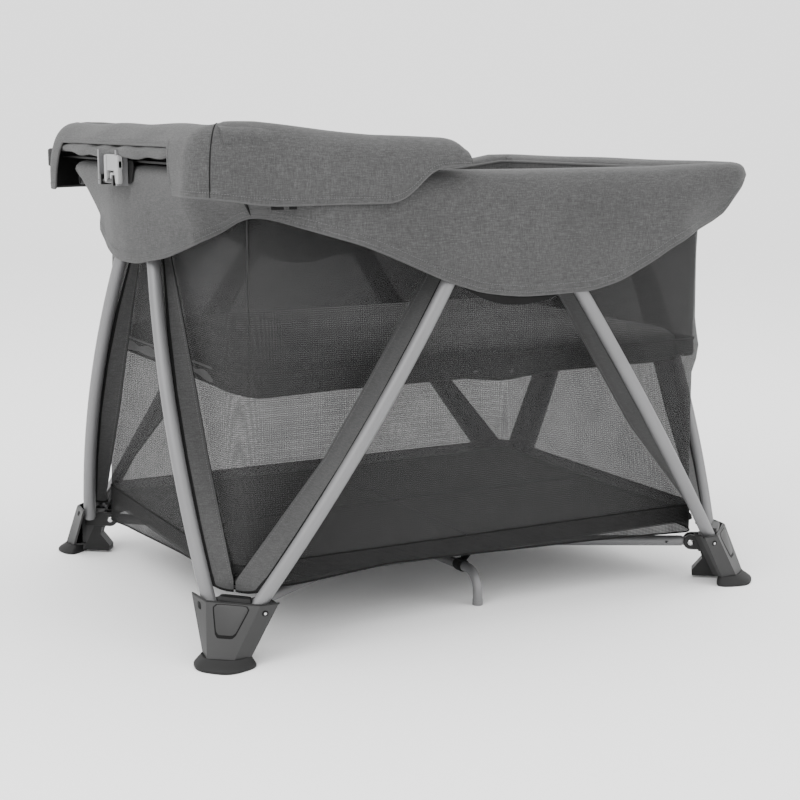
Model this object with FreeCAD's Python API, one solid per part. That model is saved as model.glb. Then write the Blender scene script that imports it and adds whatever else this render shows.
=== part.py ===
import FreeCAD, Part
import math
import os

from FreeCAD import Vector

# Travel play yard with a bassinet insert and a changing table, standing open.
# Millimetres, +Z up, front long side towards -Y, changing table over the -X half.
# The origin is on the floor, under the middle of the four feet.

# Tubes
LEG_RADIUS = 11.5
ARM_RADIUS = 9.5
RAIL_RADIUS = 10.0
SUPPORT_RADIUS = 8.5
TABLE_TUBE_RADIUS = 7.0
TUBE_WALL = 1.3

# Pins and their running fits
PIN_RADIUS = 4.0
RAIL_PIN_RADIUS = 3.5
PIN_CLEARANCE = 0.05

# Pivots of the (+X, +Y) quarter; the other three quarters mirror it
HUB_PIVOT = Vector(55, 42, 50)
FOOT_RIVET = Vector(448, 331, 68)
LONG_LEG_FOOT = Vector(444, 391, 88)
LONG_LEG_MIDDLE = Vector(234, 423, 400)
LONG_LEG_TOP = Vector(40, 395, 705)
SHORT_LEG_FOOT = Vector(496, 321, 88)
SHORT_LEG_MIDDLE = Vector(508, 184, 400)
SHORT_LEG_TOP = Vector(474, 31, 705)
LONG_RAIL_PIVOT = Vector(60, 352, 726)
SHORT_RAIL_PIVOT = Vector(500, 78, 747)
SUPPORT_PIVOT = Vector(10, 72, 48)
CORNER_BEND = 80.0
CORNER_END = 456.0
LEG_END = 12.0

# Central floor hub
HUB_RADIUS = 54.0
HUB_BOTTOM = 34.0
HUB_TOP = 66.0
EYE_RADIUS = 10.5
EYE_HALF_WIDTH = 7.5
EAR_GAP = 8.2
EAR_THICKNESS = 5.0

# Feet: plan outlines of the three-faced housing and of the pad, first quarter
HOUSING_TOP_PLAN = [(416, 413), (446, 411), (512, 350), (516, 298), (484, 298), (416, 380)]
HOUSING_BOTTOM_PLAN = [(461, 409), (491, 412), (526, 386), (521, 354), (502, 350), (457, 388)]
PAD_PLAN = [(448, 404), (462, 422), (507, 433), (545, 393), (538, 354), (520, 340)]
PAD_TOP_PLAN = [(456, 400), (462, 412), (494, 418), (531, 388), (526, 354), (514, 347)]
PAD_EDGE_HEIGHT = 5.0
PAD_HEIGHT = 16.0
HOUSING_HEIGHT = 96.0
HOUSING_WALL = 3.5

# Fabric and mesh of the yard
SOFT_GAP = 0.3
CLOTH = 3.0
MESH = 2.0
WALL_HALF_LENGTH = 455.0
WALL_HALF_WIDTH = 333.0
WALL_BOTTOM = 112.0
WALL_TOP = 735.0
FLOOR_BOTTOM = 104.0
FLOOR_THICKNESS = 20.0
SKIRT_TOP = 763.0
SKIRT_HALF_LENGTH = 518.0
END_SKIRT_HALF_WIDTH = 335.0

# Bassinet insert
BASSINET_HALF_LENGTH = 443.0
BASSINET_HALF_WIDTH = 326.0
BASSINET_BOTTOM = 402.0
BASSINET_TRAY_TOP = 445.0
BASSINET_TOP = 752.0
MATTRESS_TOP = 462.0

# Changing table
TABLE_LEFT = -543.0
TABLE_RIGHT = -77.0
TABLE_HALF_WIDTH = 421.0
APRON_BOTTOM = 711.0
APRON_TOP = 800.0
TABLE_HINGE = Vector(-535, 0, 735)
ROLL_RADIUS = 28.0
ROLL_CENTRE_Y = 388.0
ROLL_CENTRE_Z = 801.0

SIDES = {"right": 1, "left": -1}
ENDS = {"rear": 1, "front": -1}


def quarter(shape, side_x, side_y):
    """Mirror a shape of the (+X, +Y) quarter into another quarter."""
    origin = Vector(0, 0, 0)
    if side_x < 0:
        shape = shape.mirror(origin, Vector(1, 0, 0))
    if side_y < 0:
        shape = shape.mirror(origin, Vector(0, 1, 0))
    return shape


def save(name, shape):
    """Write one node to its own file."""
    if not shape.isValid() or not shape.Solids:
        print("CHECK", name, "is not a valid solid")
    shape.exportStep("parts/" + name + ".step")


def fuse(shapes):
    """Join shapes into one and drop the seams between coplanar faces."""
    first = shapes[0]
    return first.fuse(shapes[1:]).removeSplitter()


def box(x0, x1, y0, y1, z0, z1):
    """Box between two corners."""
    return Part.makeBox(x1 - x0, y1 - y0, z1 - z0, Vector(x0, y0, z0))


def rod(start, end, radius):
    """Round bar from one point to another."""
    return Part.makeCylinder(radius, (end - start).Length, start, end - start)


def cross_pin(centre, axis, radius, half_length):
    """Round bar centred on a point, along an axis."""
    unit = Vector(axis).normalize()
    return rod(centre - unit * half_length, centre + unit * half_length, radius)


def sweep(edges, radius):
    """Solid round bar along a smooth path of edges."""
    path = Part.Wire(edges)
    start = edges[0].valueAt(edges[0].FirstParameter)
    tangent = edges[0].tangentAt(edges[0].FirstParameter)
    profile = Part.Wire(Part.makeCircle(radius, start, tangent))
    return path.makePipeShell([profile], True, True)


def tube(edges, radius):
    """Hollow round tube along a smooth path of edges."""
    return sweep(edges, radius).cut(sweep(edges, radius - TUBE_WALL))


def straight(start, end):
    """Path of one straight edge."""
    return [Part.LineSegment(start, end).toShape()]


def bowed(start, middle, end, run_on):
    """Path of one circular arc through three points, run on a little past both ends."""
    arc = Part.Arc(start, middle, end).toShape()
    step = run_on / arc.Curve.Radius
    return [arc.Curve.toShape(arc.FirstParameter - step, arc.LastParameter + step)]


def bend(start, corner, end, radius):
    """Path of two straight runs joined by a tangent arc."""
    before = (start - corner).normalize()
    after = (end - corner).normalize()
    half_turn = (math.pi - before.getAngle(after)) / 2
    setback = radius * math.tan(half_turn)
    enter = corner + before * setback
    leave = corner + after * setback
    bisector = (before + after).normalize()
    middle = corner + bisector * (radius / math.cos(half_turn) - radius)
    first = Part.LineSegment(start, enter).toShape()
    turn = Part.Arc(enter, middle, leave).toShape()
    last = Part.LineSegment(leave, end).toShape()
    return [first, turn, last]


def outline(points, height):
    """Closed flat wire through plan points at one height."""
    corners = [Vector(x, y, height) for x, y in points]
    return Part.makePolygon(corners + corners[:1])


def loft(sections):
    """Solid with flat flanks through plan outlines given as (points, height)."""
    wires = [outline(points, height) for points, height in sections]
    return Part.makeLoft(wires, True, True)


def inset(points, distances):
    """Plan outline with each edge moved inwards by its own distance."""
    count = len(points)
    centre = sum((Vector(x, y, 0) for x, y in points), Vector(0, 0, 0)) / count
    moved = []
    for index in range(count):
        start = Vector(points[index][0], points[index][1], 0)
        end = Vector(points[(index + 1) % count][0], points[(index + 1) % count][1], 0)
        along = (end - start).normalize()
        inward = Vector(-along.y, along.x, 0)
        if inward.dot(centre - start) < 0:
            inward = inward * -1
        moved.append((start + inward * distances[index], along))
    corners = []
    for index in range(count):
        point, along = moved[index]
        before, before_along = moved[index - 1]
        cross = before_along.x * along.y - before_along.y * along.x
        gap = point - before
        step = (gap.x * along.y - gap.y * along.x) / cross
        corner = before + before_along * step
        corners.append((corner.x, corner.y))
    return corners


def diagonal_frame(origin):
    """Rotation and place of a local frame whose X runs outwards along a floor arm."""
    outward = Vector(FOOT_RIVET.x - HUB_PIVOT.x, FOOT_RIVET.y - HUB_PIVOT.y, 0).normalize()
    across = Vector(-outward.y, outward.x, 0)
    turn = FreeCAD.Rotation(outward, across, Vector(0, 0, 1), "XYZ")
    return FreeCAD.Placement(origin, turn)


def local(shape, origin):
    """Carry a shape drawn about zero, X outwards, to a pivot of a floor arm."""
    shape = shape.copy()
    shape.Placement = diagonal_frame(origin).multiply(shape.Placement)
    return shape


def eye(radius, half_width):
    """Round eye across the arm, drawn about zero."""
    return cross_pin(Vector(0, 0, 0), Vector(0, 1, 0), radius, half_width)


# ---------------------------------------------------------------- floor frame

def make_arm():
    """Floor arm: a tube with a solid eye at the hub and another at the foot."""
    along = (FOOT_RIVET - HUB_PIVOT).normalize()
    reach = 16.0
    plug = 14.0
    start = HUB_PIVOT + along * reach
    end = FOOT_RIVET - along * reach
    shapes = [tube(straight(start, end), ARM_RADIUS)]
    for pivot, towards in ((HUB_PIVOT, along), (FOOT_RIVET, along * -1)):
        shapes.append(local(eye(EYE_RADIUS, EYE_HALF_WIDTH), pivot))
        plug_end = pivot + towards * (reach + plug)
        shapes.append(rod(pivot + towards * 5, plug_end, ARM_RADIUS - TUBE_WALL))
    arm = fuse(shapes)
    bore = eye(PIN_RADIUS + PIN_CLEARANCE, 20)
    side_slot = box(-12, 12, EYE_HALF_WIDTH, 20, -12, 12)
    for pivot in (HUB_PIVOT, FOOT_RIVET):
        arm = arm.cut(local(bore, pivot))
        arm = arm.cut(local(side_slot, pivot))
        arm = arm.cut(local(side_slot.mirror(Vector(0, 0, 0), Vector(0, 1, 0)), pivot))
    locating_hole = FOOT_RIVET - along * 44
    return arm.cut(local(eye(2.2, 20), locating_hole))


def make_ears(inner_reach, radius):
    """Pair of ears and their pin for one arm eye, drawn about zero, X outwards."""
    shapes = [eye(PIN_RADIUS, EAR_GAP + EAR_THICKNESS)]
    for side in (-1, 1):
        low = min(side * EAR_GAP, side * (EAR_GAP + EAR_THICKNESS))
        near = min(inner_reach, 0)
        far = max(inner_reach, 0)
        plate = box(near, far, low, low + EAR_THICKNESS, -radius, radius)
        tip = rod(Vector(0, low, 0), Vector(0, low + EAR_THICKNESS, 0), radius)
        shapes.extend([plate, tip])
    return shapes


def make_hub_base():
    """Central hub: a drum with four pairs of ears for the arms and two for the support legs."""
    shapes = [Part.makeCylinder(HUB_RADIUS, HUB_TOP - HUB_BOTTOM, Vector(0, 0, HUB_BOTTOM))]
    ears = [local(shape, HUB_PIVOT) for shape in make_ears(-24, 11)]
    for side_x in SIDES.values():
        for side_y in ENDS.values():
            shapes.extend(quarter(shape, side_x, side_y) for shape in ears)
    for side_y in ENDS.values():
        for start in (-4, 19.3):
            ear = box(start, start + 4.7, 46, 82, 39, 57)
            shapes.append(quarter(ear, 1, side_y))
        pin = cross_pin(SUPPORT_PIVOT, Vector(1, 0, 0), 3.0, 12)
        shapes.append(quarter(pin, 1, side_y))
    hub = fuse(shapes)
    return hub.cut(Part.makeCylinder(8 + PIN_CLEARANCE, 20, Vector(0, 0, HUB_TOP - 20)))


def make_hub_cover():
    """Domed lid of the hub with the guide hole of the release handle."""
    lid = Part.makeCone(HUB_RADIUS - 2, HUB_RADIUS - 12, 5, Vector(0, 0, HUB_TOP))
    return lid.cut(Part.makeCylinder(8 + PIN_CLEARANCE, 10, Vector(0, 0, HUB_TOP - 1)))


def make_release_handle():
    """Pull handle: a stem in the hub with a rounded grip bar above it."""
    stem = Part.makeCylinder(8, 32, Vector(0, 0, 50))
    grip = box(-30, 30, -9, 9, 78, 88)
    upright = [edge for edge in grip.Edges if edge.BoundBox.ZLength > 5]
    return fuse([stem, grip.makeFillet(8, upright)])


def make_support_leg():
    """Bent tube from the hub to the floor under the middle of a long side."""
    bottom = 299.0
    start = SUPPORT_PIVOT - Vector(0, 9, 0)
    corner = Vector(SUPPORT_PIVOT.x, bottom, 60)
    path = bend(start, corner, Vector(SUPPORT_PIVOT.x, bottom, 0), 34)
    bore = cross_pin(SUPPORT_PIVOT, Vector(1, 0, 0), 3.0 + PIN_CLEARANCE, 20)
    return tube(path, SUPPORT_RADIUS).cut(bore)


def make_support_strap():
    """Webbing collar on a support leg with two tails up to the floor fabric."""
    rise = (60 - SUPPORT_PIVOT.z) / (299 - SUPPORT_PIVOT.y + 9)
    centre = Vector(SUPPORT_PIVOT.x, 240, SUPPORT_PIVOT.z + rise * (240 - SUPPORT_PIVOT.y + 9))
    along = Vector(0, 1, rise).normalize()
    collar = rod(centre - along * 11, centre + along * 11, SUPPORT_RADIUS + 2.4)
    collar = collar.cut(rod(centre - along * 12, centre + along * 12, SUPPORT_RADIUS + 0.4))
    shapes = [collar]
    for shift in (-62, 34):
        top = Vector(centre.x + shift, centre.y, FLOOR_BOTTOM - 1)
        foot = centre + Vector(math.copysign(4, shift), 0, SUPPORT_RADIUS + 1)
        edge = Vector(3, 0, 0)
        tail = Part.makePolygon([foot - edge, foot + edge, top + edge, top - edge, foot - edge])
        tail.translate(Vector(0, -10, 0))
        shapes.append(Part.Face(tail).extrude(Vector(0, 20, 0)))
    strap = fuse(shapes)
    return strap.cut(rod(centre - along * 14, centre + along * 14, SUPPORT_RADIUS + 0.4))


# ----------------------------------------------------------------------- feet

def make_foot_housing():
    """Three-faced shell round the leg ends, its inner arm bracket, heel and pins."""
    outer = loft([(HOUSING_BOTTOM_PLAN, PAD_HEIGHT), (HOUSING_TOP_PLAN, HOUSING_HEIGHT)])
    open_side = -12.0
    walls = [HOUSING_WALL] * 3 + [open_side, open_side, HOUSING_WALL]
    inner_bottom = inset(HOUSING_BOTTOM_PLAN, walls)
    inner_top = inset(HOUSING_TOP_PLAN, walls)
    cavity = loft([(inner_bottom, PAD_HEIGHT + 4), (inner_top, HOUSING_HEIGHT + 1)])
    shell = outer.cut(cavity)
    ears = [local(shape, FOOT_RIVET) for shape in make_ears(20, 13)]
    bridge = box(14, 58, -13.2, 13.2, -16, 15)
    heel_profile = [(16, -10), (58, -10), (58, -63), (4, -63), (4, -52), (22, -30)]
    heel_points = [Vector(x, -12, z) for x, z in heel_profile]
    heel = Part.Face(Part.makePolygon(heel_points + heel_points[:1])).extrude(Vector(0, 24, 0))
    long_pin = rod(Vector(LONG_LEG_FOOT.x, 376, LONG_LEG_FOOT.z),
                   Vector(LONG_LEG_FOOT.x, 410, LONG_LEG_FOOT.z), PIN_RADIUS)
    short_pin = rod(Vector(480, SHORT_LEG_FOOT.y, SHORT_LEG_FOOT.z),
                    Vector(513, SHORT_LEG_FOOT.y, SHORT_LEG_FOOT.z), PIN_RADIUS)
    shapes = [shell, long_pin, short_pin] + ears
    shapes.extend([local(bridge, FOOT_RIVET), local(heel, FOOT_RIVET)])
    return fuse(shapes).cut(make_foot_pad())


def make_foot_pad():
    """Rubber pad: an even edge, then a top that slopes in to the housing."""
    return loft([(PAD_PLAN, 0), (PAD_PLAN, PAD_EDGE_HEIGHT), (PAD_TOP_PLAN, PAD_HEIGHT)])


# ----------------------------------------------------------------------- legs

def make_leg(start, middle, end, axis):
    """Bowed leg tube with a cross hole for the pin at each end."""
    leg = tube(bowed(start, middle, end, LEG_END), LEG_RADIUS)
    for pivot in (start, end):
        leg = leg.cut(cross_pin(pivot, axis, PIN_RADIUS + PIN_CLEARANCE, 30))
    return leg


def make_long_leg():
    return make_leg(LONG_LEG_FOOT, LONG_LEG_MIDDLE, LONG_LEG_TOP, Vector(0, 1, 0))


def make_short_leg():
    return make_leg(SHORT_LEG_FOOT, SHORT_LEG_MIDDLE, SHORT_LEG_TOP, Vector(1, 0, 0))


def make_long_hub(pinned_side):
    """Top hub of a long side, first drawn at +Y; its leg pin is on the pinned side only."""
    top = LONG_LEG_TOP
    shapes = [
        box(-78, 78, 364.5, 380, 706, 742),
        box(-15, 15, 380, 410, 694, 722),
        box(-60, 60, 409.8, 411.8, 692, 722),
    ]
    for side in SIDES.values():
        pivot = Vector(side * LONG_RAIL_PIVOT.x, LONG_RAIL_PIVOT.y, LONG_RAIL_PIVOT.z)
        shapes.append(rod(pivot - Vector(0, 13, 0), pivot + Vector(0, 14, 0), PIN_RADIUS))
    pin_x = pinned_side * top.x
    shapes.append(rod(Vector(pin_x, 376, top.z), Vector(pin_x, 411, top.z), PIN_RADIUS))
    brace = box(min(pin_x, 0), max(pin_x, 0), 376, 380, top.z - 5, top.z + 5)
    shapes.append(brace)
    return fuse(shapes)


def make_short_hub():
    """Half of the top hub of a short end: block, leg plates and the pins of leg and rail."""
    top = SHORT_LEG_TOP
    butt = 0.5
    shapes = [
        box(459, 488, butt, 92, 724, 752),
        box(457.8, 460.4, butt, 58, 694, 740),
        box(487.4, 489.9, butt, 58, 724, 735),
        box(488.4, 489.9, butt, 58, 694, 735),
        box(460, 489, butt, 6, 700, 725),
    ]
    rail_pin_start = SHORT_RAIL_PIVOT - Vector(14, 0, 0)
    rail_pin_end = SHORT_RAIL_PIVOT + Vector(10.4, 0, 0)
    shapes.append(rod(rail_pin_start, rail_pin_end, RAIL_PIN_RADIUS))
    shapes.append(rod(Vector(459, top.y, top.z), Vector(489, top.y, top.z), PIN_RADIUS))
    return fuse(shapes)


def make_long_rail():
    """Half of a long top rail, from the hub pin to the knuckle at the corner."""
    start = LONG_RAIL_PIVOT - Vector(9, 0, 0)
    end = Vector(482, LONG_RAIL_PIVOT.y, LONG_RAIL_PIVOT.z)
    rail = tube(straight(start, end), RAIL_RADIUS)
    return rail.cut(cross_pin(LONG_RAIL_PIVOT, Vector(0, 1, 0), PIN_RADIUS + PIN_CLEARANCE, 20))


def make_short_rail():
    """Half of a short top rail with its wide bend, which ends above the long rail's end."""
    start = SHORT_RAIL_PIVOT - Vector(0, 9, 0)
    corner = Vector(SHORT_RAIL_PIVOT.x, LONG_RAIL_PIVOT.y, SHORT_RAIL_PIVOT.z)
    centre = corner - Vector(CORNER_BEND, CORNER_BEND, 0)
    turn = math.acos((CORNER_END - centre.x) / CORNER_BEND)
    angles = (0, turn / 2, turn)
    points = [centre + Vector(math.cos(a), math.sin(a), 0) * CORNER_BEND for a in angles]
    path = straight(start, points[0]) + [Part.Arc(points[0], points[1], points[2]).toShape()]
    bore = cross_pin(SHORT_RAIL_PIVOT, Vector(1, 0, 0), RAIL_PIN_RADIUS + PIN_CLEARANCE, 20)
    return tube(path, RAIL_RADIUS).cut(bore)


# --------------------------------------------------------------- yard fabrics

def band(profile):
    """Closed polygon of a cloth cross-section from its inner line and its thickness."""
    outer = []
    for index, (across, height) in enumerate(profile):
        before = profile[max(index - 1, 0)]
        after = profile[min(index + 1, len(profile) - 1)]
        along = Vector(after[0] - before[0], after[1] - before[1], 0).normalize()
        outer.append((across - along.y * CLOTH, height + along.x * CLOTH))
    return profile + outer[::-1]


def hem_outline(half_length, hem, top):
    """Plan of a skirt seen square on: a curved hem below and a straight top."""
    points = [Vector(x, 0, z) for x, z in hem]
    curve = Part.BSplineCurve()
    curve.interpolate(points)
    corners = [points[-1], Vector(half_length, 0, top), Vector(-half_length, 0, top), points[0]]
    return Part.Face(Part.Wire([curve.toShape()] + Part.makePolygon(corners).Edges))


def make_long_skirt():
    """Cloth over a long top rail, falling outside the legs to a lobed hem; at -Y."""
    inner = [(337, 760), (368, 760), (400, 748), (413, 725), (417, 650), (430, 560), (432, 536)]
    section = [Vector(-SKIRT_HALF_LENGTH, -y, z) for y, z in band(inner)]
    length = Vector(2 * SKIRT_HALF_LENGTH, 0, 0)
    prism = Part.Face(Part.makePolygon(section + section[:1])).extrude(length)
    hem = [(-518, 690), (-375, 664), (-235, 628), (-110, 578), (0, 552)]
    hem += [(-x, z) for x, z in hem[-2::-1]]
    face = hem_outline(SKIRT_HALF_LENGTH, hem, SKIRT_TOP + 5)
    face.translate(Vector(0, -500, 0))
    return prism.common(face.extrude(Vector(0, 400, 0)))


def make_end_skirt():
    """Cloth over a short top rail, falling outside the legs to a curved hem; at +X."""
    inner = [(488, 760), (508, 760), (513, 745), (513, 600)]
    section = [Vector(x, -END_SKIRT_HALF_WIDTH, z) for x, z in band(inner)]
    depth = Vector(0, 2 * END_SKIRT_HALF_WIDTH, 0)
    prism = Part.Face(Part.makePolygon(section + section[:1])).extrude(depth)
    hem = [(-335, 657), (-180, 619), (0, 601), (180, 619), (335, 657)]
    face = hem_outline(END_SKIRT_HALF_WIDTH, hem, SKIRT_TOP + 5)
    face.rotate(Vector(0, 0, 0), Vector(0, 0, 1), 90)
    face.translate(Vector(600, 0, 0))
    return prism.common(face.extrude(Vector(-200, 0, 0)))


def make_long_wall():
    """Mesh wall of a long side; at +Y."""
    reach = WALL_HALF_LENGTH - MESH - 1
    return box(-reach, reach, WALL_HALF_WIDTH - MESH, WALL_HALF_WIDTH, WALL_BOTTOM, WALL_TOP)


def make_end_wall():
    """Mesh wall of a short end; at +X."""
    reach = WALL_HALF_WIDTH - MESH - 2
    return box(WALL_HALF_LENGTH - MESH, WALL_HALF_LENGTH, -reach, reach, WALL_BOTTOM, WALL_TOP)


def make_floor_quarter():
    """Quarter of the floor fabric, carried by one floor arm."""
    top = FLOOR_BOTTOM + FLOOR_THICKNESS
    return box(1, WALL_HALF_LENGTH - 3, 1, WALL_HALF_WIDTH - 3, FLOOR_BOTTOM, top)


# ------------------------------------------------------------------- bassinet

def bassinet_block(inwards, bottom, top):
    """Block with the plan of the insert, drawn in on all four sides."""
    half_x = BASSINET_HALF_LENGTH - inwards
    half_y = BASSINET_HALF_WIDTH - inwards
    return box(-half_x, half_x, -half_y, half_y, bottom, top)


def make_bassinet_walls():
    """Four mesh walls of the insert, one closed loop."""
    outer = bassinet_block(0, BASSINET_TRAY_TOP, BASSINET_TOP)
    return outer.cut(bassinet_block(MESH, BASSINET_TRAY_TOP - 1, BASSINET_TOP + 1))


def make_bassinet_tray():
    """Fabric tray under the mattress: a floor with low sides."""
    outer = bassinet_block(0, BASSINET_BOTTOM, BASSINET_TRAY_TOP)
    return outer.cut(bassinet_block(CLOTH + 1, BASSINET_BOTTOM + CLOTH, BASSINET_TRAY_TOP + 1))


def make_mattress():
    """Padded mattress board, rounded at its upright corners."""
    pad = bassinet_block(CLOTH + 6, BASSINET_BOTTOM + CLOTH + SOFT_GAP, MATTRESS_TOP)
    upright = [edge for edge in pad.Edges if edge.BoundBox.ZLength > 5]
    return pad.makeFillet(30, upright)


# -------------------------------------------------------------- changing table

def table_loop(radius):
    """U-shaped frame tube of the table: along the front, round the end, along the rear."""
    height = 785.0
    left, right, half = -515.0, -135.0, 392.0
    corner = 45.0
    inner = corner * (1 - math.sqrt(0.5))
    front = Part.LineSegment(Vector(right, -half, height), Vector(left + corner, -half, height))
    front_turn = Part.Arc(Vector(left + corner, -half, height),
                          Vector(left + inner, -half + inner, height),
                          Vector(left, -half + corner, height))
    end = Part.LineSegment(Vector(left, -half + corner, height), Vector(left, half - corner, height))
    rear_turn = Part.Arc(Vector(left, half - corner, height),
                         Vector(left + inner, half - inner, height),
                         Vector(left + corner, half, height))
    rear = Part.LineSegment(Vector(left + corner, half, height), Vector(right, half, height))
    return sweep([line.toShape() for line in (front, front_turn, end, rear_turn, rear)], radius)


def make_table_frame():
    """Frame tube with the two hinge lugs that hang from it to the end bracket."""
    frame = table_loop(TABLE_TUBE_RADIUS).cut(table_loop(TABLE_TUBE_RADIUS - TUBE_WALL))
    shapes = [frame]
    for side in (-1, 1):
        low = min(side * 44, side * 52)
        lug = box(-539, -520, low, low + 8, 728, 786)
        shapes.append(lug.cut(table_loop(TABLE_TUBE_RADIUS - TUBE_WALL)))
    lugs = fuse(shapes)
    bore = cross_pin(TABLE_HINGE, Vector(0, 1, 0), PIN_RADIUS + PIN_CLEARANCE, 60)
    return lugs.cut(bore)


def make_table_bracket():
    """End bracket: a saddle over the end rail, with the hinge pin of the table outboard."""
    shapes = [
        box(-520.5, -486, -37, 37, 765, 769),
        box(-523, -519, -37, 37, 728, 769),
        box(-541, -519, -37, -29, 728, 745),
        box(-541, -519, 29, 37, 728, 745),
        cross_pin(TABLE_HINGE, Vector(0, 1, 0), PIN_RADIUS, 54),
    ]
    return fuse(shapes)


def make_table_board():
    """Thin board that carries the table's pad."""
    board = box(-508, -112, -372, 372, 766, 769.5)
    return board.cut(box(-510, -480, -42, 42, 760, 775))


def make_table_pad():
    """Table pad: a flat middle between raised rolls along the front, the end and the rear."""
    left, right = -511.0, -118.0
    shapes = [box(left, right, -ROLL_CENTRE_Y, ROLL_CENTRE_Y, 773.5, 797)]
    for side in (-1, 1):
        start = Vector(left, side * ROLL_CENTRE_Y, ROLL_CENTRE_Z)
        shapes.append(rod(start, Vector(right, start.y, start.z), ROLL_RADIUS))
        shapes.append(Part.makeSphere(ROLL_RADIUS, start))
    shapes.append(rod(Vector(left, -ROLL_CENTRE_Y, ROLL_CENTRE_Z),
                      Vector(left, ROLL_CENTRE_Y, ROLL_CENTRE_Z), ROLL_RADIUS))
    pad = fuse(shapes)
    pad = pad.cut(table_loop(TABLE_TUBE_RADIUS + 0.4))
    lugs = [box(-541, -510, low, low + 10, 720, 795) for low in (-53, 43)]
    return pad.cut(lugs[0]).cut(lugs[1])


def make_table_apron():
    """Cloth apron round the front, end and rear of the table, notched at the end bracket."""
    outer = box(TABLE_LEFT, TABLE_RIGHT, -TABLE_HALF_WIDTH, TABLE_HALF_WIDTH, APRON_BOTTOM, APRON_TOP)
    inner = box(TABLE_LEFT + CLOTH, TABLE_RIGHT + 1, -TABLE_HALF_WIDTH + CLOTH,
                TABLE_HALF_WIDTH - CLOTH, APRON_BOTTOM - 1, APRON_TOP + 1)
    apron = outer.cut(inner)
    apron = apron.cut(box(TABLE_LEFT - 1, TABLE_LEFT + 10, -320, 320, APRON_BOTTOM - 1, 785))
    below = APRON_BOTTOM - 1
    rise = [(-205, below), (-150, 760), (TABLE_RIGHT, 768), (TABLE_RIGHT + 5, below)]
    corners = [Vector(x, -500, z) for x, z in rise]
    cut_away = Part.Face(Part.makePolygon(corners + corners[:1])).extrude(Vector(0, 1000, 0))
    return apron.cut(cut_away)


# ------------------------------------------------------------------ all nodes

def build():
    os.makedirs("parts", exist_ok=True)
    save("hub_base", make_hub_base())
    save("hub_cover", make_hub_cover())
    save("release_handle", make_release_handle())

    per_quarter = {
        "floor_arm": make_arm(),
        "floor_fabric": make_floor_quarter(),
        "foot_housing": make_foot_housing(),
        "foot_pad": make_foot_pad(),
        "long_leg": make_long_leg(),
        "short_leg": make_short_leg(),
        "long_rail": make_long_rail(),
        "short_rail": make_short_rail(),
        "short_hub": make_short_hub(),
    }
    for end, side_y in ENDS.items():
        for side, side_x in SIDES.items():
            for name, shape in per_quarter.items():
                save(name + "_" + end + "_" + side, quarter(shape, side_x, side_y))

    for end, side_y in ENDS.items():
        save("long_hub_" + end, quarter(make_long_hub(-1), 1, side_y))
        leg_and_strap = Part.makeCompound([make_support_leg(), make_support_strap()])
        save("support_leg_" + end, quarter(leg_and_strap, 1, side_y))
        save("wall_mesh_" + end, quarter(make_long_wall(), 1, side_y))
        save("skirt_" + end, quarter(make_long_skirt(), 1, -side_y))
    for side, side_x in SIDES.items():
        save("wall_mesh_" + side, quarter(make_end_wall(), side_x, 1))
        save("skirt_" + side, quarter(make_end_skirt(), side_x, 1))

    save("bassinet_walls", make_bassinet_walls())
    save("bassinet_tray", make_bassinet_tray())
    save("bassinet_mattress", make_mattress())
    save("table_frame", make_table_frame())
    save("table_bracket", make_table_bracket())
    save("table_board", make_table_board())
    save("table_pad", make_table_pad())
    save("table_apron", make_table_apron())


build()
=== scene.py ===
import math

import bmesh
import bpy
import numpy as np
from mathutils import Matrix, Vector


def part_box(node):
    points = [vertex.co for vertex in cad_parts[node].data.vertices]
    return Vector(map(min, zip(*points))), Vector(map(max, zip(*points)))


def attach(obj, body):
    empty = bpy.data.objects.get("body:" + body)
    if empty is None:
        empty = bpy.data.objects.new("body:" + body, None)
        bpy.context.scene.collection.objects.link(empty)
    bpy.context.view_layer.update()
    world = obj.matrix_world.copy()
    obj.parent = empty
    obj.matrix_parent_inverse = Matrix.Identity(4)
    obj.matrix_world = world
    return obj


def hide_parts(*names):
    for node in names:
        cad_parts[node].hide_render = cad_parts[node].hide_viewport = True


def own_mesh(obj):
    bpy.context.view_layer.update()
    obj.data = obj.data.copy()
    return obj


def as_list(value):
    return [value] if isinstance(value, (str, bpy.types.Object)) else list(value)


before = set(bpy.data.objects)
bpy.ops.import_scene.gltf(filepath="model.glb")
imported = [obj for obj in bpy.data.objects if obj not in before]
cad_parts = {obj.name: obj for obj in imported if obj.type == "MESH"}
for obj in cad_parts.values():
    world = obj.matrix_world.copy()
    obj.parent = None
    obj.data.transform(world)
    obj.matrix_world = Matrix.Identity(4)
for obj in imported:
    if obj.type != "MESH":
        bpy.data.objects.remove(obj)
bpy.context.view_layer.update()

# Every piece is drawn about the middle of the yard's four feet, in metres, and moved by
# SHIFT along X into the frame, whose origin is under the middle of the whole object.
HUB_LOW, HUB_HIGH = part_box("hub_cover")
SHIFT = round((HUB_LOW.x + HUB_HIGH.x) / 2, 4)
ENDS = {"front": -1, "rear": 1}
SIDES = {"left": -1, "right": 1}
PI = math.pi


def quarters():
    """Names and signs of the four corners of the yard."""
    return [(end, side, x_sign, y_sign) for end, y_sign in ENDS.items() for side, x_sign in SIDES.items()]


# ------------------------------------------------------------------ mesh tools

def new_mesh(name, verts, faces):
    mesh = bpy.data.meshes.new(name)
    mesh.from_pydata([tuple(v) for v in verts], [], [tuple(int(i) for i in f) for f in faces])
    return mesh


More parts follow.
